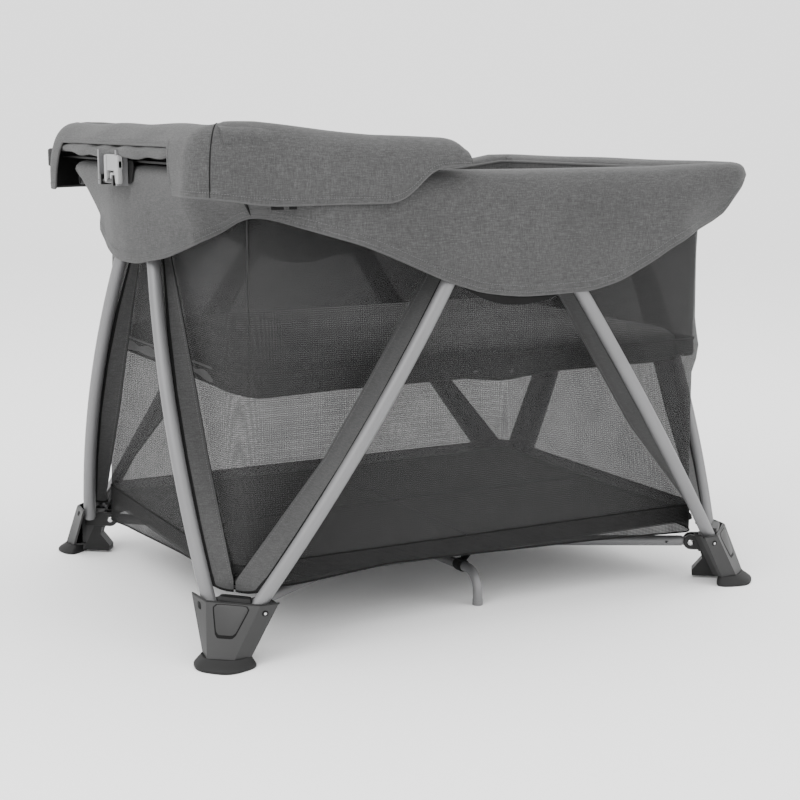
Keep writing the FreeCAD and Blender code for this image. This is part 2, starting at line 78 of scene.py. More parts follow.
def piece(name, geometry, material, body, replaces=(), angle=38.0, slot=None):
    """Object with outward normals, smooth except at sharp edges, that rides on a body."""
    mesh = new_mesh(name, np.asarray(geometry[0], float) + (SHIFT, 0.0, 0.0), geometry[1])
    bm = bmesh.new()
    bm.from_mesh(mesh)
    bmesh.ops.recalc_face_normals(bm, faces=bm.faces)
    bm.to_mesh(mesh)
    bm.free()
    mesh.shade_smooth()
    mesh.set_sharp_from_angle(angle=math.radians(angle))
    obj = bpy.data.objects.new(name, mesh)
    bpy.context.scene.collection.objects.link(obj)
    mesh.materials.append(material)
    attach(obj, body)
    if replaces:
        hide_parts(*replaces)
    return obj


def join(*parts):
    """One geometry from several."""
    verts, faces = [], []
    for part_verts, part_faces in parts:
        base = len(verts)
        verts.extend(np.asarray(part_verts, float).tolist())
        faces.extend([tuple(int(i) + base for i in face) for face in part_faces])
    return np.array(verts), faces


def mirrored(geometry, side_x=1, side_y=1):
    """Geometry drawn in the (+X, +Y) quarter, carried to another quarter."""
    return np.asarray(geometry[0], float) * (side_x, side_y, 1), geometry[1]


def unit(vectors):
    return vectors / np.maximum(np.linalg.norm(vectors, axis=-1, keepdims=True), 1e-12)


def reach_along(line):
    """Distance of each point of a line from its start."""
    return np.concatenate([[0], np.cumsum(np.linalg.norm(np.diff(line, axis=0), axis=1))])


def points_at(at, reach, line):
    """Points of a line at distances along it."""
    return np.stack([np.interp(at, reach, line[:, k]) for k in range(3)], -1)


def grid_quads(index, wrap=False):
    """Quads over a grid of vertex numbers."""
    if wrap:
        index = np.vstack([index, index[:1]])
    a, b = index[:-1, :-1].ravel(), index[1:, :-1].ravel()
    c, d = index[1:, 1:].ravel(), index[:-1, 1:].ravel()
    return list(zip(a, b, c, d))


def open_sheet(points, wrap=False):
    """Single surface over a grid of points."""
    nu, nv = points.shape[:2]
    return points.reshape(-1, 3), grid_quads(np.arange(nu * nv).reshape(nu, nv), wrap)


def slopes(points, wrap):
    return (np.roll(points, -1, 0) - np.roll(points, 1, 0)) / 2 if wrap else np.gradient(points, axis=0)


def grid_normals(points, wrap=False):
    return unit(np.cross(slopes(points, wrap), np.gradient(points, axis=1)))


def closed_by(upper, lower, wrap=False):
    """Closed form between two sheets over the same grid."""
    nu, nv = upper.shape[:2]
    count = nu * nv
    index = np.arange(count).reshape(nu, nv)
    faces = grid_quads(index, wrap) + [f[::-1] for f in grid_quads(index + count, wrap)]
    for edge in (index[:, 0], index[:, -1]):
        faces += grid_quads(np.stack([edge, edge + count], 1), wrap)
    if not wrap:
        for edge in (index[0], index[-1]):
            faces += grid_quads(np.stack([edge, edge + count], 1))
    return np.concatenate([upper.reshape(-1, 3), lower.reshape(-1, 3)]), faces


def thick_sheet(points, thickness, wrap=False, normals=None):
    """Closed cloth of some thickness about a grid of points."""
    normals = grid_normals(points, wrap) if normals is None else normals
    half = normals * np.broadcast_to(np.asarray(thickness) / 2, points.shape[:2])[..., None]
    return closed_by(points + half, points - half, wrap)


def rope(line, radius, sides=8, wrap=False, flat=1.0, across=(0, 0, 1)):
    """Round or flattened roll along a line of points."""
    line = np.asarray(line, float)
    tangent = unit(slopes(line, wrap))
    side = unit(np.cross(tangent, np.asarray(across, float)))
    up = np.cross(side, tangent)
    radius = np.broadcast_to(np.asarray(radius, float), (len(line),))[:, None]
    turns = np.linspace(0, 2 * PI, sides, endpoint=False)
    rings = np.stack([line + radius * (side * math.cos(t) * flat + up * math.sin(t)) for t in turns], 0)
    if wrap:
        index = np.arange(sides * len(line)).reshape(sides, len(line))
        return rings.reshape(-1, 3), grid_quads(np.hstack([index, index[:, :1]]), True)
    return capped(rings)


def capped(points):
    """Closed form over a grid that runs round in its first direction."""
    nu, nv = points.shape[:2]
    index = np.arange(nu * nv).reshape(nu, nv)
    return points.reshape(-1, 3), grid_quads(index, True) + [tuple(index[::-1, 0]), tuple(index[:, -1])]


def loft(rings):
    """Closed form through rings of points with the same count."""
    return capped(np.stack(rings, 1))


def stack(outline, levels, place, middle=None, by_distance=False):
    """Closed form through copies of an outline.

    Each level is a depth and how far the outline draws in there towards its middle, as a
    share or as a distance. place puts two coordinates of the outline and a depth in space.
    """
    outline = np.asarray(outline, float)
    toward = (outline.mean(0) if middle is None else middle) - outline
    if by_distance:
        toward = unit(toward)
    return loft([np.array([place(a, b, depth) for a, b in outline + toward * drawn])
                 for depth, drawn in levels])


def rounded(points, times=3, share=0.25):
    """Closed plan outline with its corners cut back again and again."""
    points = np.asarray(points, float)
    for _ in range(times):
        step = np.roll(points, -1, 0) - points
        pairs = np.stack([points + step * share, points + step * (1 - share)], 1)
        points = pairs.reshape(-1, points.shape[1])
    return points


def stitches(line, outward, pitch=0.0042, length=0.003, radius=0.00045):
    """Row of thread dashes on a surface, along a line of points."""
    line = np.asarray(line, float)
    reach = reach_along(line)
    starts = np.arange(pitch / 2, reach[-1] - length, pitch)
    first, last = points_at(starts, reach, line), points_at(starts + length, reach, line)
    outward = np.broadcast_to(np.asarray(outward, float), line.shape)
    normal = unit(points_at(starts + length / 2, reach, outward))
    side = np.cross(unit(last - first), normal)
    middle = (first + last) / 2
    verts = np.stack([first, middle + side * radius, middle + normal * radius * 1.6,
                      middle - side * radius, middle - normal * radius, last], 1)
    faces = []
    for b in range(0, 6 * len(starts), 6):
        for p, q in ((1, 2), (2, 3), (3, 4), (4, 1)):
            faces += [(b, b + q, b + p), (b + 5, b + p, b + q)]
    return verts.reshape(-1, 3), faces


def smooth_table(table, at, reach=0.018):
    """Values of a table of (position, value) at some positions, with its corners eased."""
    table, at = np.asarray(table, float), np.asarray(at, float)
    return np.mean([np.interp(at + s, table[:, 0], table[:, 1]) for s in np.linspace(-reach, reach, 9)], 0)


def eased(values, times=2):
    """Values of a table column, with each inner one drawn towards its neighbours."""
    values = np.array(values, float)
    for _ in range(times):
        values[1:-1] = 0.25 * values[:-2] + 0.5 * values[1:-1] + 0.25 * values[2:]
    return values


def smooth_step(share):
    return share * share * (3 - 2 * share)


def wave(size, *angles):
    """Sum of sines: each angle's sine counts for its own size."""
    return sum(amount * np.sin(angle) for amount, angle in zip(size, angles))


def declare(obj, points, held, rests_on, wrap=False):
    """Measure the flat size of a sheet's cut along its own grid."""
    grid = np.concatenate([points, points[:1]]) if wrap else points
    along = np.linalg.norm(np.diff(grid, axis=0), axis=2).sum(0).max()
    across = np.linalg.norm(np.diff(grid, axis=1), axis=2).sum(1).max()
    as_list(rests_on)


# ------------------------------------------------------------------- materials


class Finish:
    """Principled material and the nodes that drive it."""

    def __init__(self, name, slot, base, roughness, metallic=0.0, sheen=0.0, specular=0.4):
        self.material = bpy.data.materials.new(name)
        self.material.use_nodes = True
        self.tree = self.material.node_tree
        self.shader = self.tree.nodes["Principled BSDF"]
        values = {"Base Color": (*base, 1), "Roughness": roughness, "Metallic": metallic,
                  "Sheen Weight": sheen, "Sheen Roughness": 0.5, "Specular IOR Level": specular,
                  "Coat Weight": 0.0}
        for socket, value in values.items():
            self.shader.inputs[socket].default_value = value
        self.place = self.tree.nodes.new("ShaderNodeTexCoord").outputs["Object"]

    def drive(self, socket, value):
        self.tree.links.new(value, self.shader.inputs[socket])

    def noise(self, scale, stretch=(1, 1, 1), detail=2.0):
        """Noise in object coordinates, in features per metre, and stretched along axes."""
        mapping = self.tree.nodes.new("ShaderNodeMapping")
        mapping.inputs["Scale"].default_value = stretch
        texture = self.tree.nodes.new("ShaderNodeTexNoise")
        texture.inputs["Scale"].default_value = scale
        texture.inputs["Detail"].default_value = detail
        texture.inputs["Roughness"].default_value = 0.5
        self.tree.links.new(self.place, mapping.inputs["Vector"])
        self.tree.links.new(mapping.outputs["Vector"], texture.inputs["Vector"])
        return texture.outputs["Fac"]

    def axes(self):
        """The three object coordinates."""
        split = self.tree.nodes.new("ShaderNodeSeparateXYZ")
        self.tree.links.new(self.place, split.inputs[0])
        return split.outputs

    def math(self, operation, first, second=0.0, clamp=False):
        node = self.tree.nodes.new("ShaderNodeMath")
        node.operation, node.use_clamp = operation, clamp
        for socket, value in zip(node.inputs, (first, second)):
            if isinstance(value, (int, float)):
                socket.default_value = value
            else:
                self.tree.links.new(value, socket)
        return node.outputs[0]

    def add(self, first, second, clamp=False):
        return self.math("ADD", first, second, clamp)

    def times(self, first, second, clamp=False):
        return self.math("MULTIPLY", first, second, clamp)

    def tint(self, factor, stops):
        """Base colour from a ramp of (position, colour) stops."""
        node = self.tree.nodes.new("ShaderNodeValToRGB")
        elements = node.color_ramp.elements
        elements[0].position, elements[0].color = stops[0][0], (*stops[0][1], 1)
        elements[1].position, elements[1].color = stops[-1][0], (*stops[-1][1], 1)
        for position, colour in stops[1:-1]:
            elements.new(position).color = (*colour, 1)
        self.tree.links.new(factor, node.inputs["Fac"])
        self.drive("Base Color", node.outputs["Color"])

    def bump(self, height, strength, distance):
        node = self.tree.nodes.new("ShaderNodeBump")
        node.inputs["Strength"].default_value = strength
        node.inputs["Distance"].default_value = distance
        self.tree.links.new(height, node.inputs["Height"])
        self.drive("Normal", node.outputs["Normal"])


def grey(value):
    return (value, value, value)


def scaled(colour, share):
    return tuple(min(1.0, share * c) for c in colour)


def woven(name, slot, dark, mid, light, sheen, contrast=1.0):
    """Heathered plain weave: threads both ways, flecks, and slow uneven tone."""
    cloth = Finish(name, slot, grey(mid), 0.88, sheen=sheen, specular=0.2)
    fine = cloth.add(cloth.noise(420, (1, 1, 6.5), 3), cloth.noise(420, (6.5, 6.5, 1), 3))
    broad = cloth.add(cloth.noise(80, (1, 1, 9)), cloth.noise(80, (9, 9, 1)))
    total = cloth.add(cloth.times(fine, 0.26 * contrast), cloth.times(broad, 0.26 * contrast))
    total = cloth.add(total, cloth.times(cloth.noise(5), 0.12))
    total = cloth.add(total, 0.5 - (0.52 * contrast + 0.06))
    cloth.tint(total, [(0.34, grey(dark)), (0.5, grey(mid)), (0.66, grey(light))])
    threads = cloth.math("MAXIMUM", cloth.noise(900, (1, 1, 3), 1), cloth.noise(900, (3, 3, 1), 1))
    cloth.bump(threads, 0.35, 0.0004)
    return cloth.material


def netting(name, thread, alpha_thread, alpha_hole, pitch=0.0034):
    """See-through knit with rows of small holes."""
    net = Finish(name, "mesh_fabric", grey(thread), 0.8, specular=0.15)
    x, y, z = net.axes()
    rows = net.math("SINE", net.times(z, PI / pitch))
    posts = net.math("SINE", net.times(net.add(x, y), PI / (1.25 * pitch)))
    posts = net.add(net.times(net.times(posts, posts), 0.7), 0.3)
    hole = net.times(net.times(rows, rows), posts)
    alpha = net.add(net.times(hole, alpha_hole - alpha_thread), alpha_thread - 0.05)
    net.drive("Alpha", net.add(alpha, net.times(net.noise(22), 0.10), clamp=True))
    net.tint(net.noise(300, (1, 1, 4)), [(0.3, grey(0.75 * thread)), (0.7, grey(1.3 * thread))])
    net.bump(hole, 0.3, 0.0004)
    return net.material


def smooth(name, slot, colour, roughness, grain=0.16, specular=0.4, metallic=0.0, scales=(14, 900),
           spread=(0.86, 1.16), uneven=0.16):
    """Moulded plastic, rubber or painted metal: slow change of tone and gloss over a fine grain."""
    skin = Finish(name, slot, colour, roughness, metallic=metallic, specular=specular)
    slow = skin.noise(scales[0], detail=3)
    skin.tint(slow, [(0.3, scaled(colour, spread[0])), (0.7, scaled(colour, spread[1]))])
    skin.drive("Roughness", skin.add(skin.times(slow, uneven), roughness - uneven / 2))
    skin.bump(skin.noise(scales[1]), grain, 0.0003)
    return skin.material


def metal(name, colour, roughness, metallic):
    """Satin painted or plated metal with a faint orange peel."""
    return smooth(name, "satin_tube", colour, roughness, 0.05, 0.5, metallic, (9, 420), (0.93, 1.05), 0.14)


def housing_plastic(name, slot, outer, inner):
    """Plastic of a foot housing: grey outside, black on the side that looks to the middle of the yard."""
    skin = Finish(name, slot, grey(outer), 0.5, specular=0.3)
    x, y, z = skin.axes()
    reach = skin.add(skin.times(skin.math("ABSOLUTE", x), 0.8056),
                     skin.times(skin.math("ABSOLUTE", y), 0.5924))
    reach = skin.add(reach, skin.times(z, 0.475))
    front = skin.times(skin.math("SUBTRACT", reach, 0.6155), 2000.0, clamp=True)
    tone = skin.math("SUBTRACT", front, skin.times(skin.noise(14, detail=3), 0.2), clamp=True)
    skin.tint(tone, [(0.0, grey(inner)), (1.0, grey(outer))])
    skin.bump(skin.noise(900), 0.16, 0.0003)
    return skin.material


HEATHER = woven("heather_cloth", "heather_fabric", 0.028, 0.0475, 0.079, 0.10, 1.3)
BAND_CLOTH = woven("band_cloth", "heather_fabric", 0.033, 0.053, 0.082, 0.08)
TRAY_CLOTH = woven("tray_cloth", "heather_fabric", 0.022, 0.033, 0.048, 0.05)
FLOOR_CLOTH = woven("floor_cloth", "floor_fabric", 0.008, 0.0125, 0.020, 0.04, 1.3)
MATTRESS_CLOTH = woven("mattress_cloth", "mattress_fabric", 0.26, 0.33, 0.40, 0.08)
LINING = woven("black_lining", "black_plastic", 0.002, 0.004, 0.007, 0.02)
WEBBING = woven("black_webbing", "black_plastic", 0.003, 0.006, 0.010, 0.03)
THREAD = woven("sewing_thread", "heather_fabric", 0.09, 0.12, 0.16, 0.05, 0.6)
EDGE_TAPE = woven("edge_tape", "heather_fabric", 0.045, 0.065, 0.09, 0.06, 0.7)
NET = netting("side_net", 0.028, 0.83, 0.55)
NET_INNER = netting("bassinet_net", 0.024, 0.72, 0.44, 0.0030)
NET_HEM = netting("net_footing", 0.014, 0.97, 0.80, 0.0026)
TUBE = metal("satin_tube", (0.165, 0.165, 0.168), 0.50, 0.35)
RIVET = metal("rivet_steel", grey(0.55), 0.25, 1.0)
GREY_PLASTIC = smooth("grey_plastic", "grey_plastic", grey(0.023), 0.5, specular=0.3)
DARK_PLASTIC = smooth("dark_plastic", "grey_plastic", grey(0.016), 0.48, specular=0.3)
BLACK_PLASTIC = smooth("black_plastic", "black_plastic", grey(0.0035), 0.42, specular=0.3)
HOUSING = housing_plastic("housing_plastic", "grey_plastic", 0.027, 0.0035)
LIGHT_PLASTIC = smooth("light_plastic", "light_plastic", grey(0.26), 0.42, grain=0.1)
RUBBER = smooth("foot_rubber", "foot_rubber", grey(0.014), 0.62, grain=0.3, specular=0.2)
BOARD = smooth("pad_board", "grey_plastic", grey(0.014), 0.7)

CAD_MATERIALS = {("long_leg", "short_leg", "floor_arm", "table_frame"): TUBE,
                 ("long_rail", "short_rail"): HEATHER,
                 ("foot_housing",): HOUSING,
                 ("hub_base", "long_hub", "short_hub", "table_bracket"): BLACK_PLASTIC,
                 ("hub_cover", "release_handle"): DARK_PLASTIC,
                 ("table_board",): BOARD}
for node_name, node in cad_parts.items():
    for prefixes, finish in CAD_MATERIALS.items():
        if node_name.startswith(prefixes):
            node.data.materials.clear()
            node.data.materials.append(finish)
    node.data.shade_smooth()
    node.data.set_sharp_from_angle(angle=math.radians(30))


# ---------------------------------------------------------------- plan outlines

def rounded_loop(half_x, half_y, radius, counts, left_radius=None):
    """Stations round a rounded rectangle: place, outward direction and corner share.

    They start at the right end of the rear and go round by the rear, left and front. The
    counts are those of a long side, a short side and a corner.
    """
    places, normals, corners = [], [], []
    signs = ((1, 1), (-1, 1), (-1, -1), (1, -1))
    radii = [radius if x > 0 or left_radius is None else left_radius for x, _ in signs]

    def centre(number):
        return np.array(signs[number]) * (half_x - radii[number], half_y - radii[number])

    for quarter in range(4):
        for t in np.linspace(0, 1, counts[2]):
            turn = PI / 2 * (quarter + t)
            direction = np.array([math.cos(turn), math.sin(turn)])
            places.append(centre(quarter) + radii[quarter] * direction)
            normals.append(direction)
            corners.append(math.sin(PI * t) ** 2)
        start, following = places[-1], (quarter + 1) % 4
        target = centre(following) + radii[following] * direction
        for t in np.linspace(0, 1, counts[quarter % 2] + 2)[1:-1]:
            places.append(start + (target - start) * t)
            normals.append(direction)
            corners.append(0.0)
    return np.array(places), np.array(normals), np.array(corners)


def side_stations(side, counts):
    """Numbers of a loop's stations on one side; the long sides take the corners with them."""
    long_count, short_count, corner_count = counts
    rear = list(range(2 * corner_count + long_count))
    left = list(range(rear[-1], rear[-1] + short_count + 2))
    front = list(range(left[-1], left[-1] + 2 * corner_count + long_count))
    right = list(range(front[-1], 4 * corner_count + 2 * (long_count + short_count))) + [0]
    return {"rear": rear, "left": left, "front": front, "right": right}[side]


def slack(places, normals, half_x, half_y):
    """How far an upright fabric can draw in: most in the middle of a side, not at the corners."""
    share_x, share_y = 1 - (places[:, 0] / half_x) ** 2, 1 - (places[:, 1] / half_y) ** 2
    return np.where(np.abs(normals[:, 1]) > 0.9, share_x, np.where(np.abs(normals[:, 0]) > 0.9, share_y, 0))


# ----------------------------------------------------------------------- skirts

SIDE_BODIES = {"front": "long_hub_front", "rear": "long_hub_rear",
               "left": "short_hub_front_left", "right": "short_hub_front_right"}
SKIRT_X, SKIRT_Y, SKIRT_BEND, SKIRT_LEFT_BEND = 0.512, 0.405, 0.055, 0.16
SKIRT_COUNTS = (150, 96, 19)
SKIRT_CLOTH = 0.0024
# height, then how far out the cloth stands on a long side, on an end and at a corner
SKIRT_PROFILE = np.array([
    (0.738, -0.070, -0.055, -0.056),
    (0.750, -0.070, -0.055, -0.056),
    (0.760, -0.065, -0.048, -0.048),
    (0.7645, -0.050, -0.032, -0.034),
    (0.7650, -0.036, -0.016, -0.022),
    (0.7620, -0.020, -0.003, -0.010),
    (0.7550, -0.008, 0.0015, -0.003),
    (0.742, 0.000, 0.0020, 0.000),
    (0.721, 0.008, 0.0025, -0.006),
    (0.685, 0.0115, 0.0030, -0.022),
    (0.655, 0.0135, 0.0035, -0.041),
    (0.600, 0.020, 0.0035, -0.050),
    (0.535, 0.027, 0.0035, -0.050),
])
OVER_RAIL = 8
LONG_HEM = [(-0.60, 0.676), (-0.50, 0.688), (-0.46, 0.698), (-0.42, 0.692), (-0.375, 0.678),
            (-0.33, 0.664), (-0.271, 0.647), (-0.222, 0.627), (-0.121, 0.583), (-0.057, 0.563),
            (0.013, 0.555), (0.087, 0.556), (0.142, 0.558), (0.202, 0.570), (0.264, 0.595),
            (0.315, 0.623), (0.368, 0.642), (0.422, 0.655), (0.452, 0.668), (0.478, 0.692),
            (0.497, 0.715), (0.512, 0.733)]
LEFT_HEM = [(-0.45, 0.688), (-0.335, 0.668), (-0.245, 0.643), (-0.163, 0.618), (-0.063, 0.601),
            (0.028, 0.601), (0.10, 0.610), (0.163, 0.618), (0.245, 0.637), (0.335, 0.655), (0.45, 0.676)]
RIGHT_HEM = [(-0.405, 0.735), (-0.36, 0.728), (-0.32, 0.690), (-0.27, 0.655), (-0.16, 0.618), (-0.06, 0.601),
             (0.06, 0.601), (0.16, 0.618), (0.27, 0.655), (0.32, 0.690), (0.36, 0.728), (0.405, 0.735)]


def sewn(side, name, geometry, material, sheet=None, **more):
    """Piece of one side's fabric, which rides on the hub of that side."""
    obj = piece(f"{name}_{side}", geometry, material, SIDE_BODIES[side], **more)
    if sheet:
        declare(obj, *sheet)
    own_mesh(obj)


def skirt_hem(places, long_share):
    """Height of the hem at each station: the lobed line of the long sides or of the ends."""
    x, y = places[:, 0], places[:, 1]
    ends = np.where(x > 0, smooth_table(RIGHT_HEM, y), smooth_table(LEFT_HEM, y))
    return long_share * smooth_table(LONG_HEM, x) + (1 - long_share) * ends


def rim_level(place, long_share):
    """How high the cloth stands over the rail: lower along the long sides, lowest at the rear."""
    toward_end = np.clip((np.abs(place[0]) - 0.30) / 0.13, 0, 1)
    over_hub = 0.20 * math.exp(-(place[0] / 0.11) ** 4)
    middle = 0.46 + over_hub if place[1] > 0 else 0.79
    return long_share * (middle + (0.905 - middle) * toward_end) + (1 - long_share) * 0.905


def skirt_points(places, normals, corners):
    """Grid of the skirt's mid-surface: from inside the rail, over it and down to the hem."""
    long_share = np.abs(normals[:, 1]) ** 2
    hem = skirt_hem(places, long_share)
    reach = np.minimum(np.abs(places[:, 0]) / SKIRT_X, 1) * np.minimum(np.abs(places[:, 1]) / SKIRT_Y, 1)
    corner = np.maximum(smooth_step(np.clip((reach - 0.62) / 0.30, 0, 1)), corners)
    top, below = SKIRT_PROFILE[:OVER_RAIL], SKIRT_PROFILE[OVER_RAIL - 1:][::-1]
    rows_top = np.linspace(0, OVER_RAIL - 1, 22)
    drop = np.concatenate([np.linspace(0, 1, 24)[1:-2], [0.965, 0.985, 1.0]])
    grid = np.zeros((len(places), len(rows_top) + len(drop), 3))
    around = reach_along(places)
    around = around / (around[-1] + np.linalg.norm(places[0] - places[-1])) * 2 * PI
    for i, (place, normal, s) in enumerate(zip(places, normals, around)):
        straight = 1 - corner[i]
        weights = np.array([straight * long_share[i], straight * (1 - long_share[i]), corner[i]])
        out_top = np.interp(rows_top, range(OVER_RAIL), top[:, 1:] @ weights)
        z_top = np.interp(rows_top, range(OVER_RAIL), top[:, 0])
        z_top = np.where(z_top > 0.72, 0.72 + (z_top - 0.72) * rim_level(place, long_share[i]), z_top)
        z_low = z_top[-1] + (hem[i] - z_top[-1]) * drop
        out_low = np.interp(z_low, below[:, 0], below[:, 1:] @ weights)
        out = eased(np.concatenate([out_top, out_low]))
        z = eased(np.concatenate([z_top, z_low]), 1)
        fold = wave((0.0013, 0.0011, 0.0007), 11 * s + 9 * z, 25 * s - 14 * z + 1.7, 44 * s + 23 * z + 0.6)
        fold *= (0.35 + 0.65 * long_share[i]) * np.clip((0.735 - z) / 0.08, 0, 1)
        toward_corner = math.sin(PI / 2 * min(1.0, abs(place[1]) / 0.34)) ** 2
        tuck = 0.046 * np.clip((0.750 - z) / 0.085, 0, 1) * toward_corner
        tuck = tuck * max(0.0, -normal[0])
        turn = math.degrees(math.atan2(abs(normal[1]), -normal[0]))
        over_rail = 0.018 * math.exp(-((turn - 42) / 14) ** 2) * np.exp(-((z - 0.735) / 0.022) ** 2)
        out = out + fold - tuck + over_rail * (place[0] < 0)
        grid[i, :, :2] = place + normal * out[:, None]
        grid[i, :, 2] = z + 0.0006 * np.sin(10 * s + 0.8) * np.clip((z - 0.75) / 0.01, 0, 1)
    return grid


def skirt_thickness(grid):
    """Cloth thickness over the grid, double in the turned hem."""
    from_hem = np.linalg.norm(grid - grid[:, -1:], axis=2)
    return np.where(from_hem < 0.0175, SKIRT_CLOTH + 0.0016, SKIRT_CLOTH)


def hem_line(grid, rise, lift):
    """Line on the outer face of a skirt at a distance above its hem, and its normals."""
    line, outward = [], []
    for column, normal in zip(grid, grid_normals(grid)):
        reach = np.linalg.norm(column - column[-1], axis=1)
        order = np.argsort(reach)
        out = np.array([column[-1][0] / 0.5, column[-1][1] / 0.4, 0])
        facing = normal[-3] if np.dot(normal[-3], out) > 0 else -normal[-3]
        line.append(points_at(rise, reach[order], column[order]) + facing * lift)
        outward.append(facing)
    return np.array(line), np.array(outward)


def hub_lining(y_sign):
    """Dark lobe that hangs under the skirt at the middle of a long side."""
    across = np.linspace(-0.125, 0.135, 40)
    dip = 0.541 + 0.050 * np.abs((across - 0.01) / 0.13) ** 2.2
    under = np.zeros((len(across), 8, 3))
    under[:, :, 0] = across[:, None]
    under[:, :, 2] = 0.596 + (dip - 0.596)[:, None] * np.linspace(0, 1, 8)
    under[:, :, 1] = y_sign * np.interp(under[:, :, 2], (0.541, 0.56, 0.60), (0.4285, 0.4265, 0.4212))
    return under


def skirt_slit(column):
    """Dark slit of a long skirt beside its left corner, narrow at the hem."""
    line = column[28:44] * (1.0024, 1.0024, 1.0)
    line[:, 0] -= np.linspace(0.008, 0.0, len(line))
    return rope(line, 0.0034 * np.linspace(1, 0.25, len(line)), 6, across=(1, 0, 0))


SKIRT = skirt_points(*rounded_loop(SKIRT_X, SKIRT_Y, SKIRT_BEND, SKIRT_COUNTS, SKIRT_LEFT_BEND))
SKIRT_NORMALS = grid_normals(SKIRT, True)
SLIT_STATIONS = {"front": 11, "rear": 2 * SKIRT_COUNTS[2] + SKIRT_COUNTS[0] - 11}
for side in SIDE_BODIES:
    chosen = side_stations(side, SKIRT_COUNTS)
    grid = SKIRT[chosen]
    rail = f"long_rail_{side}_left" if side in ENDS else f"short_rail_front_{side}"
    cloth = thick_sheet(grid, skirt_thickness(grid), normals=SKIRT_NORMALS[chosen])
    sewn(side, "skirt_cloth", cloth, HEATHER, (grid, "hung", [rail]), replaces=[f"skirt_{side}"], angle=60)
    rows = [stitches(*hem_line(grid, rise, SKIRT_CLOTH / 2 + 0.0009)) for rise in (0.0055, 0.0150)]
    sewn(side, "hem_stitches", join(*rows), THREAD)
    sewn(side, "hem_edge", rope(hem_line(grid, 0.0005, 0.0)[0], 0.0021), EDGE_TAPE)
    if side in ENDS:
        under = hub_lining(ENDS[side])
        sewn(side, "hub_lining", thick_sheet(under, 0.0016), LINING, (under, "hung", [f"long_hub_{side}"]))
        sewn(side, "skirt_slit", skirt_slit(grid[SLIT_STATIONS[side]]), LINING)


# ---------------------------------------------------------- mesh walls of the yard

WALL_X, WALL_Y, WALL_CORNER = 0.4555, 0.3335, 0.030
WALL_COUNTS = (70, 48, 9)
# height and the bend of the left corners; height and how far the right end swells out
LEFT_BEND = [(0.10, 0.030), (0.16, 0.034), (0.30, 0.052), (0.45, 0.070), (0.74, 0.115)]
RIGHT_SWELL = [(0.11, 0.0), (0.30, -0.003), (0.385, -0.003), (0.41, 0.005), (0.43, 0.008), (0.445, 0.007),
               (0.47, 0.0), (0.60, -0.002), (0.68, 0.001), (0.74, 0.005)]
FOOT_EDGES = {
    "front": [(-0.46, 0.101), (-0.35, 0.098), (-0.18, 0.110), (0.0, 0.105), (0.22, 0.098), (0.35, 0.092),
              (0.46, 0.086)],
    "rear": [(-0.46, 0.070), (-0.35, 0.096), (0.0, 0.104), (0.46, 0.096)],
    "left": [(-0.34, 0.101), (-0.2, 0.106), (-0.1, 0.103), (0.0, 0.096), (0.12, 0.087), (0.22, 0.080),
             (0.28, 0.073), (0.34, 0.070)],
    "right": [(-0.34, 0.086), (0.0, 0.100), (0.34, 0.096)],
}
FOOTING_LOW = 0.100


def wall_points(side, rows, out=0.0, pull=0.0015):
    """Upright fabric on one side of the yard, drawn in a little between its corners."""
    chosen = side_stations(side, WALL_COUNTS)
    grid = np.zeros((len(chosen), len(rows), 3))
    for j, z in enumerate(rows):
        bend = float(smooth_table(LEFT_BEND, z))
        places, normals = (values[chosen] for values in
                           rounded_loop(WALL_X, WALL_Y, WALL_CORNER, WALL_COUNTS, bend)[:2])
        height = math.sin(PI * np.clip((z - 0.11) / 0.62, 0, 1))
        offset = out - pull * slack(places, normals, WALL_X, WALL_Y) * height
        swollen = np.exp(-((np.abs(places[:, 1]) - WALL_Y) / 0.10) ** 2) * (places[:, 0] > 0.40)
        offset = offset + swollen * np.interp(z, *zip(*RIGHT_SWELL)) * (pull > 0)
        grid[:, j, :2] = places + normals * offset[:, None]
        grid[:, j, 2] = z
    return grid


for side in SIDE_BODIES:
    grid = wall_points(side, np.linspace(0.106, 0.735, 26))
    sewn(side, "net_wall", open_sheet(grid), NET, (grid, "stretched", [f"skirt_cloth_{side}"]),
         replaces=[f"wall_mesh_{side}"])
    footing = wall_points(side, np.linspace(FOOTING_LOW, 0.139, 7), 0.0013, 0.0)
    low_edge = smooth_table(FOOT_EDGES[side], footing[:, 0, 0 if side in ENDS else 1])
    footing[:, :, 2] += (low_edge - FOOTING_LOW)[:, None] * np.linspace(1, 0, 7) ** 1.5
    sewn(side, "wall_footing", open_sheet(footing), NET_HEM, (footing, "stretched", [f"net_wall_{side}"]))
    sewn(side, "floor_piping", join(rope(footing[:, 0], 0.0016), rope(footing[:, -1], 0.0011, 6)), LINING,
         slot="heather_fabric")


# ------------------------------------------------- cloth bands between leg and wall

# height, x and y of the leg tubes' centre lines in the (+X, +Y) quarter
TUBES = {
    "long": np.array([(0.088, 0.444, 0.391), (0.15, 0.401, 0.403), (0.2, 0.367, 0.410), (0.3, 0.300, 0.420),
                      (0.4, 0.234, 0.423), (0.5, 0.170, 0.419), (0.6, 0.106, 0.408), (0.65, 0.075, 0.401),
                      (0.705, 0.040, 0.395)]),
    "short": np.array([(0.088, 0.496, 0.321), (0.15, 0.502, 0.296), (0.2, 0.506, 0.275), (0.3, 0.510, 0.231),
                       (0.4, 0.508, 0.184), (0.5, 0.499, 0.135), (0.6, 0.485, 0.084), (0.705, 0.474, 0.031)]),
}
TUBE_RADIUS = 0.0115
BAND_APEX, STRAIGHT_TO = 0.118, 0.30
# thickness of the dark strip next to the tube: painted shade for the shadowed gap between tube and band
BAND_GAP_SHADE = 0.0042


def tube_at(kind, z):
    table = TUBES[kind]
    return np.stack([np.interp(z, table[:, 0], table[:, 1]), np.interp(z, table[:, 0], table[:, 2]), z], -1)


